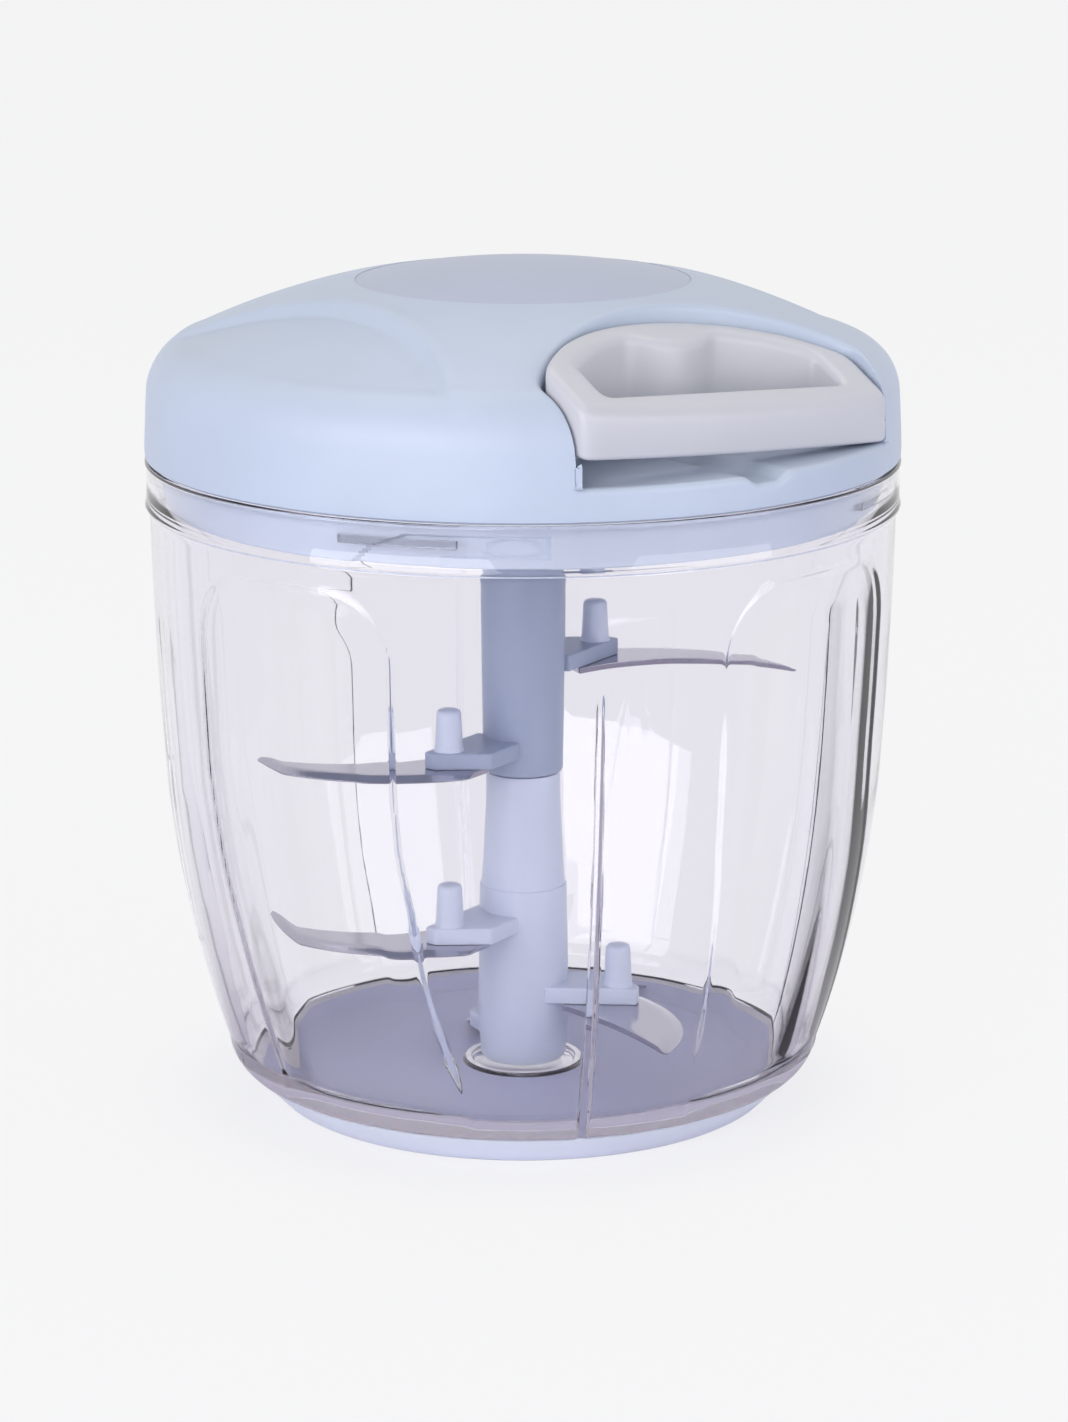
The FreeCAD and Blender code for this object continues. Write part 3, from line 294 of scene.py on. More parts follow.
def moulded(name, colour, roughness=0.42, grain=900, bump=0.05, mottle=0.04, **sockets):
    """Moulded plastic: a fine satin grain, a faint flow mottle and a little uneven gloss."""
    made, tree, shader = material(name)
    make = tree.nodes.new
    link = tree.links.new
    place = make("ShaderNodeTexCoord")
    flow = make("ShaderNodeTexNoise")
    flow.inputs["Scale"].default_value = 28
    flow.inputs["Detail"].default_value = 4
    link(place.outputs["Object"], flow.inputs["Vector"])
    ramp = make("ShaderNodeValToRGB")
    ramp.color_ramp.elements[0].position = 0.3
    ramp.color_ramp.elements[1].position = 0.7
    dark = [c * (1 - mottle) for c in colour]
    light = [min(1, c * (1 + mottle)) for c in colour]
    ramp.color_ramp.elements[0].color = (*dark, 1)
    ramp.color_ramp.elements[1].color = (*light, 1)
    link(flow.outputs["Fac"], ramp.inputs["Fac"])
    link(ramp.outputs["Color"], shader.inputs["Base Color"])
    fine = make("ShaderNodeTexNoise")
    fine.inputs["Scale"].default_value = grain
    fine.inputs["Detail"].default_value = 2
    link(place.outputs["Object"], fine.inputs["Vector"])
    raised = make("ShaderNodeBump")
    raised.inputs["Strength"].default_value = bump
    raised.inputs["Distance"].default_value = 0.0002
    link(fine.outputs["Fac"], raised.inputs["Height"])
    link(raised.outputs["Normal"], shader.inputs["Normal"])
    gloss = make("ShaderNodeMapRange")
    gloss.inputs["To Min"].default_value = roughness - 0.05
    gloss.inputs["To Max"].default_value = roughness + 0.05
    link(flow.outputs["Fac"], gloss.inputs["Value"])
    link(gloss.outputs["Result"], shader.inputs["Roughness"])
    for socket, value in sockets.items():
        shader.inputs[socket.replace("_", " ")].default_value = value
    return made


def steel(name, colour=(0.52, 0.51, 0.575), roughness=0.16, stretch=(1, 60, 1)):
    """Bright steel with fine grinding marks along the piece."""
    made, tree, shader = material(name)
    make = tree.nodes.new
    link = tree.links.new
    shader.inputs["Metallic"].default_value = 1
    shader.inputs["Base Color"].default_value = (*colour, 1)
    place = make("ShaderNodeTexCoord")
    scale = make("ShaderNodeMapping")
    scale.inputs["Scale"].default_value = stretch
    link(place.outputs["Object"], scale.inputs["Vector"])
    marks = make("ShaderNodeTexNoise")
    marks.inputs["Scale"].default_value = 60
    marks.inputs["Detail"].default_value = 5
    link(scale.outputs["Vector"], marks.inputs["Vector"])
    gloss = make("ShaderNodeMapRange")
    gloss.inputs["To Min"].default_value = roughness * 0.6
    gloss.inputs["To Max"].default_value = roughness * 1.5
    link(marks.outputs["Fac"], gloss.inputs["Value"])
    link(gloss.outputs["Result"], shader.inputs["Roughness"])
    raised = make("ShaderNodeBump")
    raised.inputs["Strength"].default_value = 0.06
    raised.inputs["Distance"].default_value = 0.0001
    link(marks.outputs["Fac"], raised.inputs["Height"])
    link(raised.outputs["Normal"], shader.inputs["Normal"])
    return made


def clear(name):
    """Clear moulded plastic with a faint lavender body and a nearly even polish."""
    made, tree, shader = material(name)
    make = tree.nodes.new
    link = tree.links.new
    shader.inputs["Base Color"].default_value = (0.985, 0.98, 0.995, 1)
    shader.inputs["Transmission Weight"].default_value = 1
    shader.inputs["IOR"].default_value = 1.49
    place = make("ShaderNodeTexCoord")
    ripple = make("ShaderNodeTexNoise")
    ripple.inputs["Scale"].default_value = 34
    ripple.inputs["Detail"].default_value = 2
    link(place.outputs["Object"], ripple.inputs["Vector"])
    raised = make("ShaderNodeBump")
    raised.inputs["Strength"].default_value = 0.12
    raised.inputs["Distance"].default_value = 0.0006
    link(ripple.outputs["Fac"], raised.inputs["Height"])
    link(raised.outputs["Normal"], shader.inputs["Normal"])
    gloss = make("ShaderNodeMapRange")
    gloss.inputs["To Min"].default_value = 0.0
    gloss.inputs["To Max"].default_value = 0.03
    link(ripple.outputs["Fac"], gloss.inputs["Value"])
    link(gloss.outputs["Result"], shader.inputs["Roughness"])
    body = make("ShaderNodeVolumeAbsorption")
    body.inputs["Color"].default_value = (0.62, 0.58, 0.80, 1)
    body.inputs["Density"].default_value = 32
    link(body.outputs["Volume"], tree.nodes["Material Output"].inputs["Volume"])
    return made


LID = (0.475, 0.540, 0.665)
blue = moulded("lid_blue", LID, roughness=0.40)
cap_blue = moulded("cap_blue", (0.425, 0.465, 0.60), roughness=0.38)
# Painted light: the skirt's blue is lighter than the lid's, standing in for lamp light that
# doesn't pass the clear rim
skirt_blue_painted_light = moulded("skirt_blue_painted_light", (0.70, 0.78, 0.92), roughness=0.42)
# Painted light and shade on the spindle: a darker copy of one blue for the upper moulding,
# standing in for the lid's shade, and a lighter copy for the lower moulding and the pegs,
# standing in for lamp light that doesn't pass the clear bowl
upper_blue_painted_shade = moulded("upper_blue_painted_shade", (0.33, 0.385, 0.53), roughness=0.38, mottle=0.03)
lower_blue_painted_light = moulded("lower_blue_painted_light", (0.60, 0.645, 0.79), roughness=0.38, mottle=0.03)
grey = moulded("handle_grey", (0.555, 0.56, 0.61), roughness=0.32, mottle=0.02)
white_plastic = moulded("reel_white", (0.72, 0.72, 0.71), roughness=0.45)
dark_plastic = moulded("bush_grey", (0.28, 0.29, 0.31), roughness=0.40)
soft_white = moulded("foot_white", (0.90, 0.89, 0.94), roughness=0.45, Subsurface_Weight=0.15)
seal_soft = moulded("seal_soft", (0.72, 0.72, 0.80), roughness=0.40)
cord_white = moulded("cord_white", (0.70, 0.70, 0.68), roughness=0.85, grain=1800, bump=0.6)
blade_steel = steel("blade_steel")
screw_steel = steel("screw_steel", (0.55, 0.55, 0.57), 0.28)
spring_steel = steel("spring_steel", (0.30, 0.32, 0.38), 0.32)
clear_plastic = clear("clear_plastic")
# Painted shade: a nearly opaque lavender sheet over the bowl's clear floor, standing in for the
# shaded floor seen through it
bowl_floor_painted_shade = moulded("bowl_floor_painted_shade", (0.62, 0.63, 0.83), roughness=0.5,
                          Transmission_Weight=0.12)


# Bowl: clear wall with arched panels outside and fins inside

ROW = math.radians


def polar(radius, angle):
    """Plan points at radii and azimuths, the azimuth measured from -Y towards +X."""
    return np.stack([radius * np.sin(angle), -radius * np.cos(angle)], -1)


def wrapped(angle, centre):
    """Angle from the nearest of four evenly spaced centres, in radians."""
    turn = math.pi / 2
    return (angle - ROW(centre) + turn / 2) % turn - turn / 2


PANEL_MIDDLE = 12.0
PANEL_TOP = 102.5
PANEL_CORNER = 13.0
PANEL_RIGHT = ([6, 19, 28, 37, 49, 58, 68, 93], [28.5, 27.2, 26.0, 25.0, 24.4, 23.2, 22.8, 23.2])
PANEL_LEFT = ([6, 19, 35, 58, 87], [17.0, 18.6, 19.9, 21.7, 22.2])
SIDE_LEFT = ([8, 22, 38, 51, 68, 91], [10.5, 12.0, 14.6, 17.2, 19.6, 19.4])


def panel(angle, radius, height):
    """How far the outer wall steps in at an arched panel."""
    turned = wrapped(angle, PANEL_MIDDLE)
    across = turned * radius
    side = np.cos(angle - ROW(PANEL_MIDDLE - 90)) > 0.7
    left = np.where(side, np.interp(height, *SIDE_LEFT), np.interp(height, *PANEL_LEFT))
    half = np.where(across > 0, np.interp(height, *PANEL_RIGHT), left)
    qx = np.abs(across) - (half - PANEL_CORNER)
    qz = height - (PANEL_TOP - PANEL_CORNER)
    corner = np.hypot(np.maximum(qx, 0), np.maximum(qz, 0)) + np.minimum(
        np.maximum(qx, qz), 0) - PANEL_CORNER
    into = -np.where(qz < 0, np.abs(across) - half, corner)
    step = (0.5 * smoothstep(0, 1.3, into) + 0.28 * np.clip((into - 0.5) / 6.6, 0, 1)
            + 0.37 * smoothstep(0, 8, into))
    shallow = np.where(side, smoothstep(0, 12, -across), smoothstep(0, 12, across))
    return step * (1 - 0.6 * shallow) * smoothstep(5.5, 12, height)


FIN_MIDDLE = -26.8


def fin(angle, radius, height):
    """How far an inner fin stands in from the inner wall."""
    across = np.abs(wrapped(angle, FIN_MIDDLE)) * radius
    width = np.interp(height, [8, 86], [0.95, 0.55])
    depth = np.interp(height, [6, 12, 32, 50, 78, 86.5], [0, 1.4, 2.7, 2.5, 0.9, 0])
    return depth * (1 - smoothstep(width * 0.55, width * 1.25, across))


OUTER = (arc((49.6, 5.6), (51.6, 7.7), (52.5, 10.8), 9)
         + arc((52.5, 10.8), (58.65, 32.5), (62.6, 58), 48)[1:]
         + arc((62.6, 58), (63.75, 76.5), (64.7, 105.4), 68)[1:])
WALL = 2.3
INNER = (arc((64.7 - WALL, 105.4), (63.75 - WALL, 76.5), (62.6 - WALL, 58), 40)
         + arc((62.6 - WALL, 58), (58.65 - WALL, 32.5), (51.2, 13.2), 36)[1:]
         + arc((51.2, 13.2), (48.2, 7.6), (42.0, 4.65), 12)[1:])


def bowl_angles(fine):
    """Azimuths all round, closer together at the fins where asked."""
    angles = np.radians(np.arange(0, 360, 0.45))
    if fine:
        for k in range(4):
            middle = ROW(FIN_MIDDLE + 90 * k)
            angles = np.concatenate([angles, middle + np.radians(np.arange(-1.6, 1.61, 0.16))])
    return np.unique(np.round(angles % (2 * math.pi), 5))


bowl = Builder()
angles = bowl_angles(True)


def bowl_row(radius, height, change=None):
    """One ring of the bowl, moved in by a change where given."""
    moved = radius - (change(angles, radius, height) if change else 0)
    flat = polar(moved, angles)
    return np.column_stack([flat, np.full(len(angles), height)])


rows = [bowl_row(r, 2.8) for r in (4, 20, 44, 45.7)]
rows += [bowl_row(46.05, 3.1), bowl_row(46.05, 5.35), bowl_row(46.5, 5.6), bowl_row(48.5, 5.6)]
rows += [bowl_row(r, z, panel) for r, z in OUTER]
rows += [bowl_row(r, z) for r, z in (
    (64.8, 105.8), (65.35, 106.0), (65.5, 106.35), (65.4, 106.8), (65.2, 107.2), (65.2, 110),
    (65.2, 113.3), (65.4, 113.6), (65.4, 114.0), (65.1, 114.3), (63.0, 114.3), (62.5, 114.1),
    (62.4, 113.6), (62.4, 110), (62.4, 107))]
rows += [bowl_row(r, z, fin) for r, z in INNER]
rows += [bowl_row(r, z) for r, z in (
    (36, 4.62), (24, 4.6), (10.9, 4.6), (10.5, 4.8), (10.3, 5.3), (9.3, 5.3), (9.0, 4.8),
    (8.6, 4.6), (4, 4.6), (2.02, 4.6))]
indices = bowl.grid(rows)
bowl.cap(indices[0][::-1], (0, 0, 2.8))
bowl.cap(indices[-1], (0, 0, 4.6))


def arched_bar(build, section, sweep):
    """A short bar of a closed (radius, height) section along an arc."""
    made = []
    for radius, height in section:
        flat = np.column_stack([radius * np.cos(sweep), radius * np.sin(sweep)])
        first = build.add(np.column_stack([flat, np.full(len(sweep), height)]))
        made.append(list(range(first, first + len(sweep))))
    for a, b in zip(made, made[1:] + made[:1]):
        build.strip(a, b, closed=False)
    build.faces.append(tuple(row[0] for row in made))
    build.faces.append(tuple(row[-1] for row in made[::-1]))


LEDGE_START = 23.5
LEDGE_SWEEP = 18.4
LEDGE = [(61.1, 110.1), (62.6, 110.0), (62.6, 111.6), (61.1, 111.5)]
for k in range(4):
    arched_bar(bowl, LEDGE, np.radians(np.linspace(
        LEDGE_START + LEDGE_SWEEP + 90 * k, LEDGE_START + 90 * k, 16)))
bowl.object("clear_bowl", "bowl", "clear_plastic", clear_plastic, ["bowl"], sharp=50)

# Floor of the bowl as a nearly opaque lavender sheet of painted shade, standing in for the
# shaded floor seen through the clear bottom, with the faint ring over the foot
floor_shade_sheet = Builder()
floor_shade_sheet.turn([(10.8, 4.66), (24, 4.66), (36, 4.7), (39.9, 4.7), (40.2, 4.82), (40.9, 4.82),
              (41.2, 4.73), (42.5, 4.78), (44.6, 5.3), (46.2, 6.2), (46.2, 6.1), (44.6, 5.2),
              (42.5, 4.70), (36, 4.63), (10.8, 4.62), (10.8, 4.66)], 160)
floor_shade_sheet.object("bowl_floor", "bowl", "clear_plastic", bowl_floor_painted_shade, ["bowl"], sharp=30)

foot = Builder()
foot_path = [(36.3, 0.3), (36.6, 0.0), (43.5, 0.0), (44.1, 0.35), (46.6, 2.9), (48.9, 5.2),
             (48.7, 5.65), (46.0, 5.65), (45.9, 5.3), (45.9, 2.9), (36.2, 2.9), (36.1, 0.6),
             (36.3, 0.3)]
foot.turn(foot_path, 160)
foot.object("foot_ring", "bowl", "soft_foot", soft_white, ["base_ring"], sharp=45)


# Lid shell: one skin over the dome, the scoops and the side, with a hole for the recess

DOME = 142.5
APEX = 147.5


def dome_height(radius):
    """Height of the dome at a radius."""
    return APEX - DOME + np.sqrt(DOME**2 - np.asarray(radius, float) ** 2)


DOME_EDGE = 57.0
DOME_POINTS = 80
UPPER = DOME_POINTS + 16
LID_LINE = np.array(
    [(r, float(dome_height(r))) for r in np.linspace(0, DOME_EDGE, DOME_POINTS)]
    + arc((DOME_EDGE, float(dome_height(DOME_EDGE))), (62.35, 132.2), (64.85, 127.0), 16)[1:]
    + [(65.05, 124.0), (65.3, 119), (65.42, 115.4), (65.3, 114.9), (65.0, 114.55),
       (64.4, 114.4)])
run = np.concatenate([[0], np.cumsum(np.linalg.norm(np.diff(LID_LINE, axis=0), axis=1))])
SKIN = float(run[-1])
FLOOR = 120.3
SIDE_LINE = slice(DOME_POINTS, UPPER + 2)
LIP = float(np.interp(-FLOOR, -LID_LINE[SIDE_LINE, 1], run[SIDE_LINE]))
SCOOP_OFF = 113.7
SCOOP_RADIUS = 78.4
SCOOPS = [(SCOOP_OFF, 0.0), (0.0, SCOOP_OFF), (-SCOOP_OFF, 0.0)]
SCOOP_DEPTH = ([35, 41, 50, 58, 63.5], [1.75, 1.7, 1.45, 0.8, 0])
SCOOP_LIP = ([35, 50, 62], [0.22, 0.176, 0])
CAP_SEAT = 29.05
CAP_SINK = 1.12


def lid_point(flat):
    """Points of the lid's outer skin from the unrolled plan."""
    along = np.linalg.norm(flat, axis=1)
    radius = np.interp(along, run, LID_LINE[:, 0])
    height = np.interp(along, run, LID_LINE[:, 1])
    scale = np.where(along > 1e-6, radius / np.maximum(along, 1e-6), 1)
    x, y = flat[:, 0] * scale, flat[:, 1] * scale
    for cx, cy in SCOOPS:
        into = SCOOP_RADIUS - np.hypot(x - cx, y - cy)
        height = height - np.interp(radius, *SCOOP_DEPTH) * smoothstep(-0.4, 2.0, into)
        height = height + np.interp(radius, *SCOOP_LIP) * np.exp(-((into + 1.6) / 1.3) ** 2)
    height = height - CAP_SINK * (along < CAP_SEAT)
    return np.column_stack([x, y, height])


def unroll(flat):
    """Where plan points above the shoulder lie in the unrolled plan."""
    radius = np.linalg.norm(flat, axis=1)
    along = np.interp(radius, LID_LINE[:UPPER, 0], run[:UPPER])
    return flat * (along / radius)[:, None]


# The recess in plan: a D with an arched back, open to the front
HALF = 33.5
CURVE = 48.6
OFF = 81.6


def channel(flat):
    """Depth of the finger channel in the recess floor."""
    side = np.abs(flat[:, 0] + 0.6) / 5.4
    return 1.5 * (1 - smoothstep(0.35, 1.0, side)) * smoothstep(40, 45, -flat[:, 1])


def wall_plan():
    """The recess's wall in plan, from its left front to its right front."""
    reach = math.asin(HALF / CURVE)
    back = [(CURVE * math.sin(t), -(OFF - CURVE * math.cos(t)))
            for t in np.linspace(-reach, reach, 60)]
    return back


def recess_loop():
    """The recess's hole in the unrolled plan, and where its back, right, lip and left end."""
    plan = rounded([(-HALF, -90), *wall_plan(), (HALF, -90)], 0.5, 1.7)
    plan = plan[plan[:, 1] > -58.0]
    plan = plan[np.argsort(np.arctan2(plan[:, 0], plan[:, 1] + 70))]
    back = unroll(plan)
    runs = np.linspace(float(np.linalg.norm(back[0])) + 0.5, LIP, 30)
    angles = np.arcsin(HALF / np.interp(runs, run, LID_LINE[:, 0]))
    right = polar(runs, angles)
    left = polar(runs, -angles)[::-1]
    lip_angles = np.linspace(angles[-1], -angles[-1], 90)[1:-1]
    lip = polar(np.full(len(lip_angles), LIP), lip_angles)
    parts = (back, right, lip, left)
    return np.vstack(parts), np.cumsum([len(part) for part in parts])


def circle(radius, count, offset=0):
    """Evenly spaced points on a circle in plan."""
    return polar(np.full(count, radius), (np.arange(count) + offset) * 2 * math.pi / count)


def skin_points():
    """Points for the lid's skin, denser along the scoops' borders and the cap's seat."""
    points = np.vstack([circle(s, int(2 * math.pi * s) + 6, (s % 2) / 2)
                        for s in np.arange(1.0, SKIN - 0.5, 1.0)])
    fine = scatter((-70, -70), (70, 70), 0.5)
    spot = lid_point(fine)
    border = np.zeros(len(fine), bool)
    for cx, cy in SCOOPS:
        into = SCOOP_RADIUS - np.hypot(spot[:, 0] - cx, spot[:, 1] - cy)
        border |= (np.abs(into - 0.6) < 2.6) & (np.hypot(spot[:, 0], spot[:, 1]) < 63)
    fine = fine[border]
    points = np.vstack([points[~near(points, fine[::3], 1.0)], fine])
    points = points[np.abs(np.linalg.norm(points, axis=1) - CAP_SEAT) > 0.4]
    return np.vstack([points, circle(29.0, 240), circle(29.1, 240)])


def eased(t, start, middle, end):
    """Points of a rounded edge from a start to an end, bent towards a middle."""
    return (1 - t) ** 2 * start + 2 * t * (1 - t) * middle + t * t * end


def wall_direction(corner, ends):
    """From each point of the hole's edge, the direction along the recess's wall."""
    course_in = np.zeros_like(corner)
    course_in[:, 2] = -1
    for first, last, sense in ((ends[0], ends[1], 1), (ends[2], ends[3], -1)):
        course = sense * np.gradient(corner[first:last, 1:], axis=0)
        course /= np.linalg.norm(course, axis=1, keepdims=True)
        course_in[first:last, 1] = -course[:, 1]
        course_in[first:last, 2] = course[:, 0]
    return course_in


EASE = 1.1
LESS_EASE = 0.75
WALL_FILLET = 1.0
loop, ends = recess_loop()
is_lip = np.zeros(len(loop), bool)
is_lip[ends[1]:ends[2]] = True
corner = lid_point(loop)
dip = channel(corner[:, :2]) * (corner[:, 2] < FLOOR + 2)
front = smoothstep(56, 62.5, np.hypot(corner[:, 0], corner[:, 1]))
ease = EASE - LESS_EASE * (~is_lip) * front
grown = loop + outward(loop) * (ease + dip)[:, None]

shell = Builder()
flat, faces = fill(circle(SKIN, 420), [grown], skin_points())
first = shell.add(lid_point(flat))
shell.faces += [tuple(int(first + i) for i in f) for f in faces]

# The recess: its eased edge, its wall, the fillet at the wall's foot, and its floor
start = lid_point(grown)
down = np.where(is_lip[:, None], corner, corner + wall_direction(corner, ends) * ease[:, None])
outwards = corner[:, :2] / np.linalg.norm(corner[:, :2], axis=1, keepdims=True)
down[is_lip, :2] -= outwards[is_lip] * EASE
corner[:, 2] -= dip
down[:, 2] = np.where(is_lip, FLOOR - dip, down[:, 2])
wall_foot = down.copy()
wall_foot[:, 2] = np.minimum(np.where(is_lip, down[:, 2], FLOOR + WALL_FILLET), down[:, 2])
floor_edge = wall_foot.copy()
floor_edge[~is_lip, :2] -= outward(corner[:, :2])[~is_lip] * WALL_FILLET
floor_edge[:, 2] = FLOOR - channel(floor_edge[:, :2])
elbow = wall_foot.copy()
elbow[:, 2] = np.where(is_lip, down[:, 2], FLOOR)
rows = [eased(t, start, corner, down) for t in np.linspace(0, 1, 5)]
rows += [down * (1 - t) + wall_foot * t for t in (0.35, 0.7)]
rows += [eased(t, wall_foot, elbow, floor_edge) for t in np.linspace(0, 1, 4)]
shell.grid(rows)
flat, faces = fill(floor_edge[:, :2], (), scatter((-34, -66), (34, -32), 0.8))
first = shell.add(np.column_stack([flat, FLOOR - channel(flat)]))
shell.faces += [tuple(int(first + i) for i in f) for f in faces]
shell.object("lid_shell_skin", "lid", "lid_blue", blue, ["lid_shell"], sharp=38, weld=0.02)

# Ledge and skirt below the skin, with the bayonet's slot and ring mark; the skirt's blue is
# painted lighter than the lid's, as painted light for lamp light that doesn't pass the clear rim
SKIRT = 61.3
RING_MIDDLE = -39.9
skirt_angles = np.radians(np.arange(0, 360, 0.6))


def skirt_step(angle, height):
    """Relief on the skirt: slot with a ramp, its step and a ring mark, four times round."""
    a = np.degrees(wrapped(angle, RING_MIDDLE))
    ramp = np.interp(height, [106.2, 109.6, 112.1], [-24.9, -21.9, -16.4])
    slot = smoothstep(ramp - 0.25, ramp + 0.25, a) * (1 - smoothstep(5.45, 5.75, a))
    slot *= 1 - smoothstep(112.0, 112.5, height)
    step = smoothstep(-11.2, -10.9, a) * (1 - smoothstep(5.45, 5.75, a))
    step *= 1 - smoothstep(108.1, 108.6, height)
    line = np.exp(-((a + 6.4) / 0.25) ** 2) * (height > 108.4) * (height < 112.0)
    ring = np.hypot(a / 4.1, (height - 110.25) / 1.75)
    mark = np.exp(-((ring - 1) / 0.13) ** 2)
    return -0.8 * slot + 0.5 * step + 0.15 * line + 0.5 * mark


def skirt_row(radius, height, relief=True):
    """One ring of the skirt."""
    moved = radius + (skirt_step(skirt_angles, height) if relief else 0)
    return np.column_stack([polar(moved, skirt_angles), np.full(len(skirt_angles), height)])


skirt = Builder()
rows = [skirt_row(r, z, False) for r, z in (
    (64.4, 114.4), (63.0, 114.4), (61.9, 114.4), (61.4, 114.2))]
rows += [skirt_row(SKIRT, z) for z in np.arange(113.8, 106.4, -0.22)]
rows += [skirt_row(SKIRT - 0.2, 106.25), skirt_row(SKIRT - 0.5, 106.2)]
rows += [skirt_row(r, z, False) for r, z in ((59.2, 106.2), (58.9, 106.5), (58.9, 112.0))]
skirt.grid(rows)
skirt.object("lid_shell_skirt", "lid", "lid_blue", skirt_blue_painted_light, ["lid_shell"], sharp=30)

# The cap, a little below the dome's line, with a softened rim
CAP_EDGE = 28.6
CAP_DROP = 0.10
CAP_UNDER = 1.1
cap = Builder()
cap_line = [(0.02, 0.0)] + [(r, 0.0) for r in np.linspace(3, 28.2, 12)] + [
    (28.7, -0.02), (28.93, -0.10), (28.99, -0.25), (29.0, -1.0)]
cap.turn([(r, float(dome_height(min(r, CAP_EDGE))) - CAP_DROP + dz)
          for r, dz in cap_line][::-1], 200, high_cap=APEX - CAP_DROP)
cap.turn([(28.9, float(dome_height(CAP_EDGE)) - CAP_UNDER), (0.02, APEX - CAP_UNDER)], 200)
cap.object("lid_cap", "lid", "cap_blue", cap_blue, ["top_cap"], sharp=50)


# Handle: grey D-shaped ring with a boss for the cord

def handle_tilt(points):
    """Heights lean with the handle's roll."""
    moved = points.copy()
    moved[:, 2] -= points[:, 0] * math.tan(ROW(3.8))
    return moved


def top_of_handle(flat):
    """The handle's top along the pull."""
    return np.interp(-flat[:, 1], [33, 37, 41, 45.1, 49, 53, 57, 60.4],
                     [141.7, 140.5, 139.1, 137.3, 135.3, 133.05, 130.75, 128.9])


def low_of_handle(flat):
    """The handle's underside along the pull."""
    return np.interp(-flat[:, 1], [33, 39, 45.1, 52, 60.4], [127.4, 126.0, 124.6, 123.4, 122.2])


HANDLE_HALF = 32.9
HANDLE_CURVE = 47.8
HANDLE_FRONT = 57.3
HANDLE_BOW = 1.5
GRIP_HALF = 25.6
GRIP_CURVE = 43.5
GRIP_FRONT = 53.4
BOSS = 10.5
BOSS_MIDDLE = 32.0
BLEND = 1.2


def grip_back(w):
    """How far in front of the axis the grip's back lies, round the boss and along the arms."""
    arm = OFF - math.sqrt(GRIP_CURVE**2 - w * w)
    boss = BOSS_MIDDLE + math.sqrt(max(BOSS**2 - w * w, 0)) if abs(w) < BOSS else 0
    return BLEND * math.log(math.exp(arm / BLEND) + math.exp(boss / BLEND))


reach = math.asin(HANDLE_HALF / HANDLE_CURVE)
arch = [(HANDLE_CURVE * math.sin(t), HANDLE_CURVE * math.cos(t) - OFF)
        for t in np.linspace(-reach, reach, 50)]
bar = [(w, -HANDLE_FRONT - HANDLE_BOW * (1 - (w / HANDLE_HALF) ** 2))
       for w in np.linspace(HANDLE_HALF, -HANDLE_HALF, 40)]
back = [(w, -grip_back(w)) for w in np.linspace(-GRIP_HALF, GRIP_HALF, 80)]
grip = rounded(back + [(GRIP_HALF, -GRIP_FRONT), (-GRIP_HALF, -GRIP_FRONT)], 0.4, 0.9)
handle = Builder()
handle.slab(rounded(arch + bar, 0.5, 1.35), [grip], top_of_handle, low_of_handle, 1.5, 0.9, 0.9,
            handle_tilt)
handle.object("pull_handle", "handle", "handle_grey", grey, ["handle"], sharp=60)

# The cord between the lid's bush and the handle
CORD_HEIGHT = 135.5
CORD_START = -33.55
CORD_END = -34.15
cord = Builder()
turns = np.arange(20) * 2 * math.pi / 20
tube = [np.column_stack([np.cos(turns), np.full(20, y), CORD_HEIGHT + np.sin(turns)])
        for y in (CORD_START, CORD_END)]
tips = cord.grid(tube)
cord.cap(tips[0], (0, CORD_START, CORD_HEIGHT))
cord.cap(tips[1][::-1], (0, CORD_END, CORD_HEIGHT))
line = cord.object("pull_cord", None, "cord_white", cord_white, sharp=60)
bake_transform(line)


# Spindle mouldings, holders, pegs and blades; the upper moulding carries painted shade and the
# lower moulding and the pegs carry painted light, as two copies of one blue

def turned_place(angle):
    """A function that turns points about Z by an angle in degrees."""
    c, s = math.cos(ROW(angle)), math.sin(ROW(angle))

    def place(points):
        moved = points.copy()
        moved[:, 0] = points[:, 0] * c - points[:, 1] * s
        moved[:, 1] = points[:, 0] * s + points[:, 1] * c
        return moved
    return place


HOLDERS = {
    "upper_1": (78.3, -38.5), "upper_2": (64.2, 141.5),
    "lower_1": (32.7, 141.5), "lower_2": (19.8, 261.5), "lower_3": (9.8, 381.5)}
TAB = 2.9


def level(height):
    """A flat height field."""
    return lambda flat: np.full(len(flat), height)


def holder(build, high, angle):
    """A holder tab with softened edges."""
    plan = rounded([(2.6, 2.6), (8.0, -0.6), (17.1, 13.3), (15.3, 14.9), (5.4, 14.5),
                    (0.4, 7.0)], 0.25, 0.35)
    build.slab(plan, [], level(high), level(high - TAB), 0.35, 0.25, 1.5, turned_place(angle))


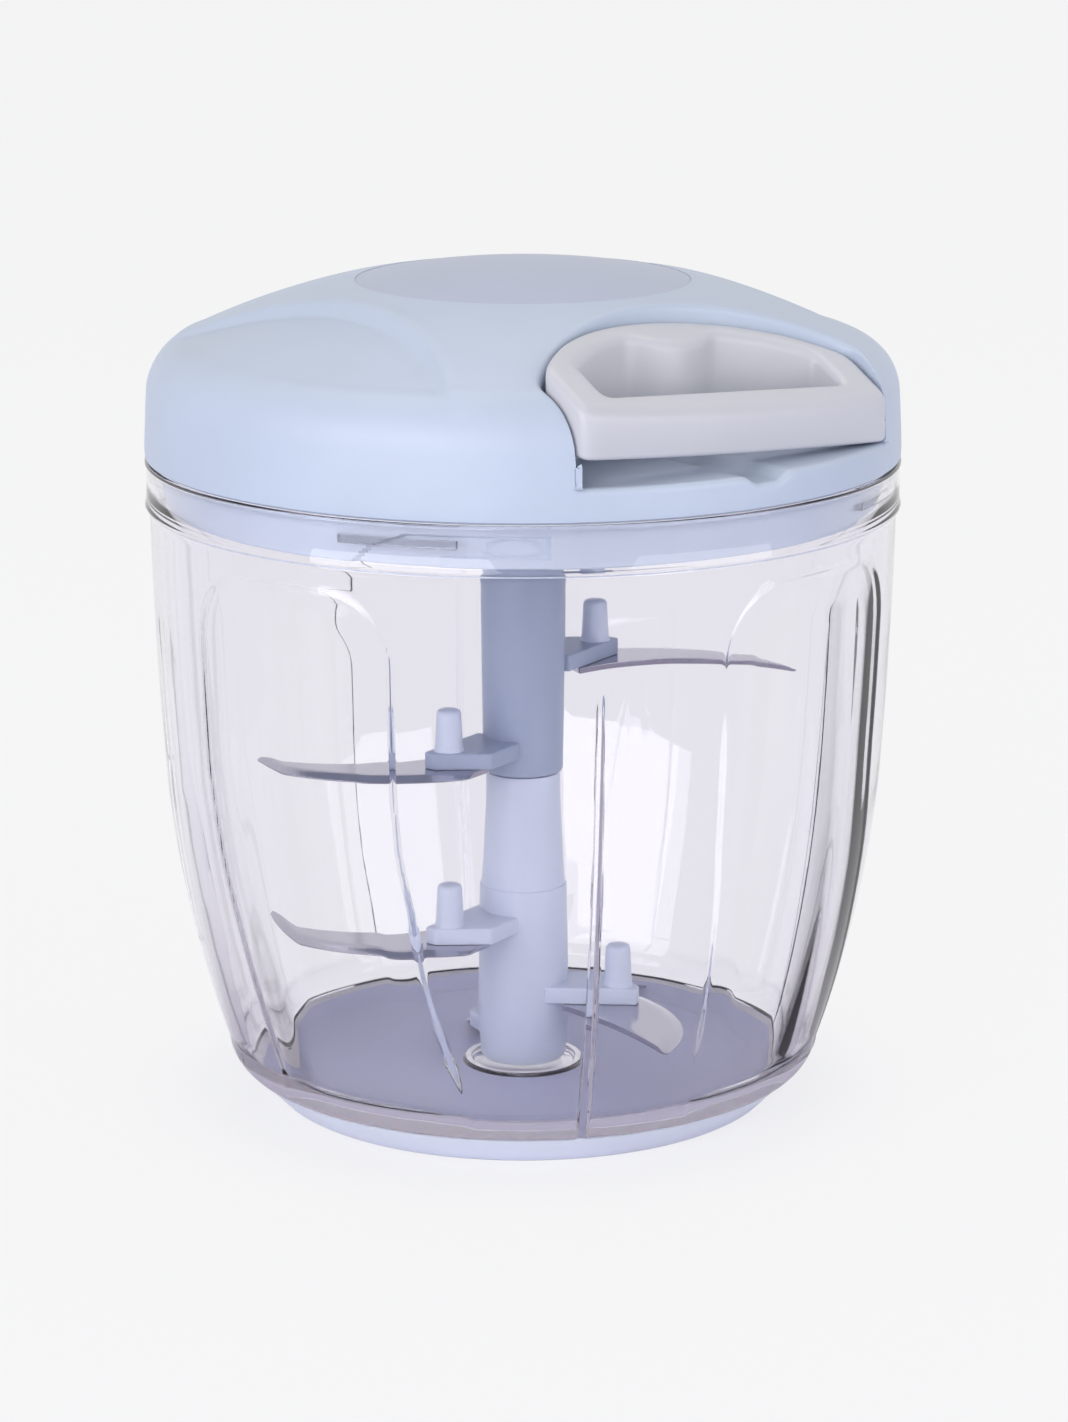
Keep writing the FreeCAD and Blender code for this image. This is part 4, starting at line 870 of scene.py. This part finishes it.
lower = Builder()
lower.turn([(2.1, 5.5), (6.3, 5.4), (7.1, 5.6), (7.55, 6.3), (7.75, 9.0), (7.97, 12.2),
            (8.05, 14.7), (7.98, 20), (7.85, 28.5), (7.7, 36.75), (7.62, 37.0), (7.42, 37.05),
            (7.38, 37.3), (7.1, 41.5), (6.85, 46.5), (6.6, 51.5), (6.55, 54), (6.55, 57.2),
            (6.35, 57.5), (4.5, 57.5), (4.5, 60)], 120, low_cap=5.5, high_cap=60)
for key in ("lower_1", "lower_2", "lower_3"):
    holder(lower, *HOLDERS[key])
lower.object("spindle_lower", "spindle", "spindle_blue", lower_blue_painted_light, ["lower_spindle"],
             sharp=42)
upper = Builder()
upper.turn([(5.0, 57.75), (6.6, 57.75), (6.95, 57.95), (7.05, 58.3), (7.06, 59.2), (7.2, 70),
            (7.4, 88), (7.4, 103.6), (7.2, 103.9), (6.3, 103.9), (6.3, 114.7), (6.0, 115.0)],
           120, low_cap=57.75, high_cap=115)
for key in ("upper_1", "upper_2"):
    holder(upper, *HOLDERS[key])
DOG = [(5.8, 105.9), (8.4, 105.9), (8.4, 114.5), (5.8, 114.5)]
for k in range(3):
    arched_bar(upper, DOG, np.radians(np.linspace(-10, 10, 8) + 120 * k))
upper.object("spindle_upper", "spindle", "spindle_blue", upper_blue_painted_shade, ["upper_spindle"],
             sharp=42)

pegs = Builder()
for key, (high, angle) in HOLDERS.items():
    x, y = turned_place(angle)(np.array([[12.8, 12.0, 0.0]]))[0][:2]
    under = high - TAB - 1.0
    pegs.turn([(0.05, high + 7.3), (1.5, high + 7.3), (1.95, high + 7.1), (2.15, high + 6.6),
               (2.25, high + 4.5), (2.42, high + 1.0), (2.6, high + 0.15), (2.7, high)][::-1],
              48, (x, y, 0), low_cap=high, high_cap=high + 7.3)
    pegs.turn([(0.05, under - 0.5), (1.7, under - 0.5), (2.15, under - 0.3), (2.2, under),
               (1.5, under), (1.5, high)], 48, (x, y, 0), low_cap=under - 0.5, high_cap=high)
pegs.object("holder_pegs", "spindle", "spindle_blue", lower_blue_painted_light, ["blade_pegs"], sharp=50)

BLADES = {
    "upper_1": ((33, 9.6), (33, 18.6), (48.4, 4.0)),
    "upper_2": ((33, 10.6), (33, 18.6), (50.2, 5.6)),
    "lower_1": ((33, 6.6), (33, 15.6), (50.2, -4.6)),
    "lower_2": ((28.5, 4.6), (28.5, 15.4), (40.5, 5.0)),
    "lower_3": ((32.2, 6.6), (32.2, 15.0), (44.2, -1.0)),
}
for key, (back_mid, edge_mid, tip) in BLADES.items():
    high, angle = HOLDERS[key]
    high -= TAB
    back_line = arc((10.0, 2.0), back_mid, (tip[0] - 0.6, tip[1] - 0.8), 40)
    edge_line = arc(tip, edge_mid, (9.5, 17.6), 50)
    outline = rounded(back_line + edge_line + [(5.6, 12.0)], 0.4, 0.3)
    edge = resample(edge_line, 0.3)

    def ground(flat, edge=edge, high=high):
        """The top of a blade, ground down towards its edge."""
        gap = np.array([np.linalg.norm(edge - p, axis=1).min() for p in flat])
        return high - 0.02 - 0.78 * (1 - smoothstep(0, 2.6, gap) ** 0.8) * (gap < 2.6)

    blade = Builder()
    blade.slab(outline, [], ground, level(high - 1.0), 0.05, 0.05, 0.8, turned_place(angle))
    blade.object(f"blade_{key}_plate", "spindle", "blade_steel", blade_steel,
                 [f"blade_{key}"], sharp=25)


# Pieces that keep their CAD shape

FINISH = {
    "pivot_pin": screw_steel, "lid_seal": seal_soft, "lid_base": blue, "lid_screws": screw_steel,
    "cord_guide": dark_plastic, "cord_lead": cord_white, "centre_screw": screw_steel,
    "centre_washer": screw_steel, "recoil_spring": spring_steel, "reel_drum": white_plastic,
    "drive_socket": white_plastic, "cord_winding": cord_white, "cord_knot": cord_white}
for name, finish in FINISH.items():
    kept = nodes[name]
    if not kept.material_slots:
        kept.data.materials.append(finish)
    for place in kept.material_slots:
        place.material = finish


# Floor, light and camera

VIEW = ROW(-38.5)
FAR = (-math.sin(VIEW), math.cos(VIEW), 0)
BACK = (0.94, 0.94, 0.94)
SIDE = (0.44, 0.41, 0.49)


def combine(tree, operation, first, second):
    """A math node of two sockets or numbers."""
    node = tree.nodes.new("ShaderNodeMath")
    node.operation = operation
    for socket, value in zip(node.inputs, (first, second)):
        if isinstance(value, (int, float)):
            socket.default_value = value
        else:
            tree.links.new(value, socket)
    return node.outputs[0]


def ranged(tree, value, low, high, to_low, to_high):
    """A smooth step of a value between two limits."""
    node = tree.nodes.new("ShaderNodeMapRange")
    node.interpolation_type = "SMOOTHSTEP"
    for name, number in (("From Min", low), ("From Max", high), ("To Min", to_low),
                         ("To Max", to_high)):
        node.inputs[name].default_value = number
    tree.links.new(value, node.inputs["Value"])
    return node.outputs["Result"]


def bent(tree, rays):
    """1 for rays of gloss and of clear plastic."""
    return combine(tree, "MAXIMUM", rays.outputs["Is Transmission Ray"],
                   rays.outputs["Is Glossy Ray"])


def studio_colour(tree, place, rays):
    """White behind the part and pale grey at its sides, for rays that pass clear plastic."""
    make = tree.nodes.new
    link = tree.links.new
    level = make("ShaderNodeVectorMath")
    level.operation = "MULTIPLY"
    level.inputs[1].default_value = (1, 1, 0)
    link(place, level.inputs[0])
    unit = make("ShaderNodeVectorMath")
    unit.operation = "NORMALIZE"
    link(level.outputs[0], unit.inputs[0])
    along = make("ShaderNodeVectorMath")
    along.operation = "DOT_PRODUCT"
    along.inputs[1].default_value = FAR
    link(unit.outputs[0], along.inputs[0])
    white = ranged(tree, along.outputs["Value"], -0.1, 0.8, 0, 1)
    white = combine(tree, "MAXIMUM", white, combine(tree, "SUBTRACT", 1, bent(tree, rays)))
    white = combine(tree, "MAXIMUM", white, rays.outputs["Diffuse Depth"])
    ramp = make("ShaderNodeValToRGB")
    ramp.color_ramp.elements[0].color = (*SIDE, 1)
    ramp.color_ramp.elements[1].color = (*BACK, 1)
    link(combine(tree, "MAXIMUM", white, rays.outputs["Is Camera Ray"]), ramp.inputs["Fac"])
    return ramp.outputs["Color"]


def through(tree, rays):
    """1 for rays that leave a piece inside the clear bowl, which the lamps don't reach."""
    deep = combine(tree, "MINIMUM", rays.outputs["Diffuse Depth"], 1)
    return combine(tree, "MULTIPLY", deep, rays.outputs["Is Transmission Ray"])


def seen(tree, rays):
    """1 for rays of the camera, of gloss and of clear plastic."""
    return combine(tree, "MAXIMUM", bent(tree, rays), rays.outputs["Is Camera Ray"])


def floor_material():
    """A pale floor that keeps the part's shadow faintly, and more of it under the part."""
    made = bpy.data.materials.new("floor_white")
    made.use_nodes = True
    tree = made.node_tree
    tree.nodes.clear()
    make = tree.nodes.new
    link = tree.links.new
    rays = make("ShaderNodeLightPath")
    place = make("ShaderNodeTexCoord").outputs["Object"]
    plain = make("ShaderNodeEmission")
    link(studio_colour(tree, place, rays), plain.inputs["Color"])
    link(ranged(tree, through(tree, rays), 0, 1, 1, 1.25), plain.inputs["Strength"])
    lit = make("ShaderNodeBsdfDiffuse")
    lit.inputs["Color"].default_value = (0.74, 0.75, 0.90, 1)
    distance = make("ShaderNodeVectorMath")
    distance.operation = "LENGTH"
    link(place, distance.inputs[0])
    under = ranged(tree, distance.outputs["Value"], 0.030, 0.075, 0.75, 0.93)
    mix = make("ShaderNodeMixShader")
    link(combine(tree, "MULTIPLY", seen(tree, rays), under), mix.inputs["Fac"])
    link(lit.outputs[0], mix.inputs[1])
    link(plain.outputs[0], mix.inputs[2])
    out = make("ShaderNodeOutputMaterial")
    link(mix.outputs[0], out.inputs["Surface"])
    return made


bpy.ops.mesh.primitive_circle_add(vertices=128, radius=6, fill_type="NGON")
floor = bpy.context.object
floor.name = "floor"
floor.data.materials.append(floor_material())

world = bpy.data.worlds.new("studio")
bpy.context.scene.world = world
world.use_nodes = True
tree = world.node_tree
background = tree.nodes["Background"]
rays = tree.nodes.new("ShaderNodeLightPath")
place = tree.nodes.new("ShaderNodeTexCoord").outputs["Generated"]
tree.links.new(studio_colour(tree, place, rays), background.inputs["Color"])
strength = combine(tree, "ADD", ranged(tree, seen(tree, rays), 0, 1, 0.5, 1),
                   ranged(tree, through(tree, rays), 0, 1, 0, 0.25))
tree.links.new(strength, background.inputs["Strength"])


def lamp(name, place, size, power, target=(0, 0, 0.08)):
    """A soft square lamp aimed at the part."""
    data = bpy.data.lights.new(name, "AREA")
    data.shape = "RECTANGLE"
    data.size, data.size_y = size
    data.energy = power
    made = bpy.data.objects.new(name, data)
    bpy.context.scene.collection.objects.link(made)
    made.location = place
    made.rotation_euler = (Vector(target) - Vector(place)).to_track_quat("-Z", "Y").to_euler()


def from_view(right, back, up):
    """A place given to the right of, behind and above the part as the camera sees it."""
    c, s = math.cos(VIEW), math.sin(VIEW)
    return (right * c - back * s, right * s + back * c, up)


lamp("key", from_view(-0.70, -0.95, 0.42), (1.3, 0.8), 10.6)
lamp("fill", from_view(0.85, -0.60, 0.40), (0.9, 0.75), 4.5)
lamp("top", from_view(0.0, 0.35, 1.0), (0.9, 0.6), 2.0)

PITCH = 0.243092
data = bpy.data.cameras.new("camera")
data.sensor_fit = "VERTICAL"
data.sensor_height = 36
data.lens = 4440.44 * 36 / 1422
camera = bpy.data.objects.new("camera", data)
bpy.context.scene.collection.objects.link(camera)
camera.location = from_view(0.001909, -0.758257, 0.256031)
camera.rotation_euler = (math.pi / 2 - PITCH, 0, VIEW)
bpy.context.scene.camera = camera
bpy.context.scene.view_settings.view_transform = "Standard"
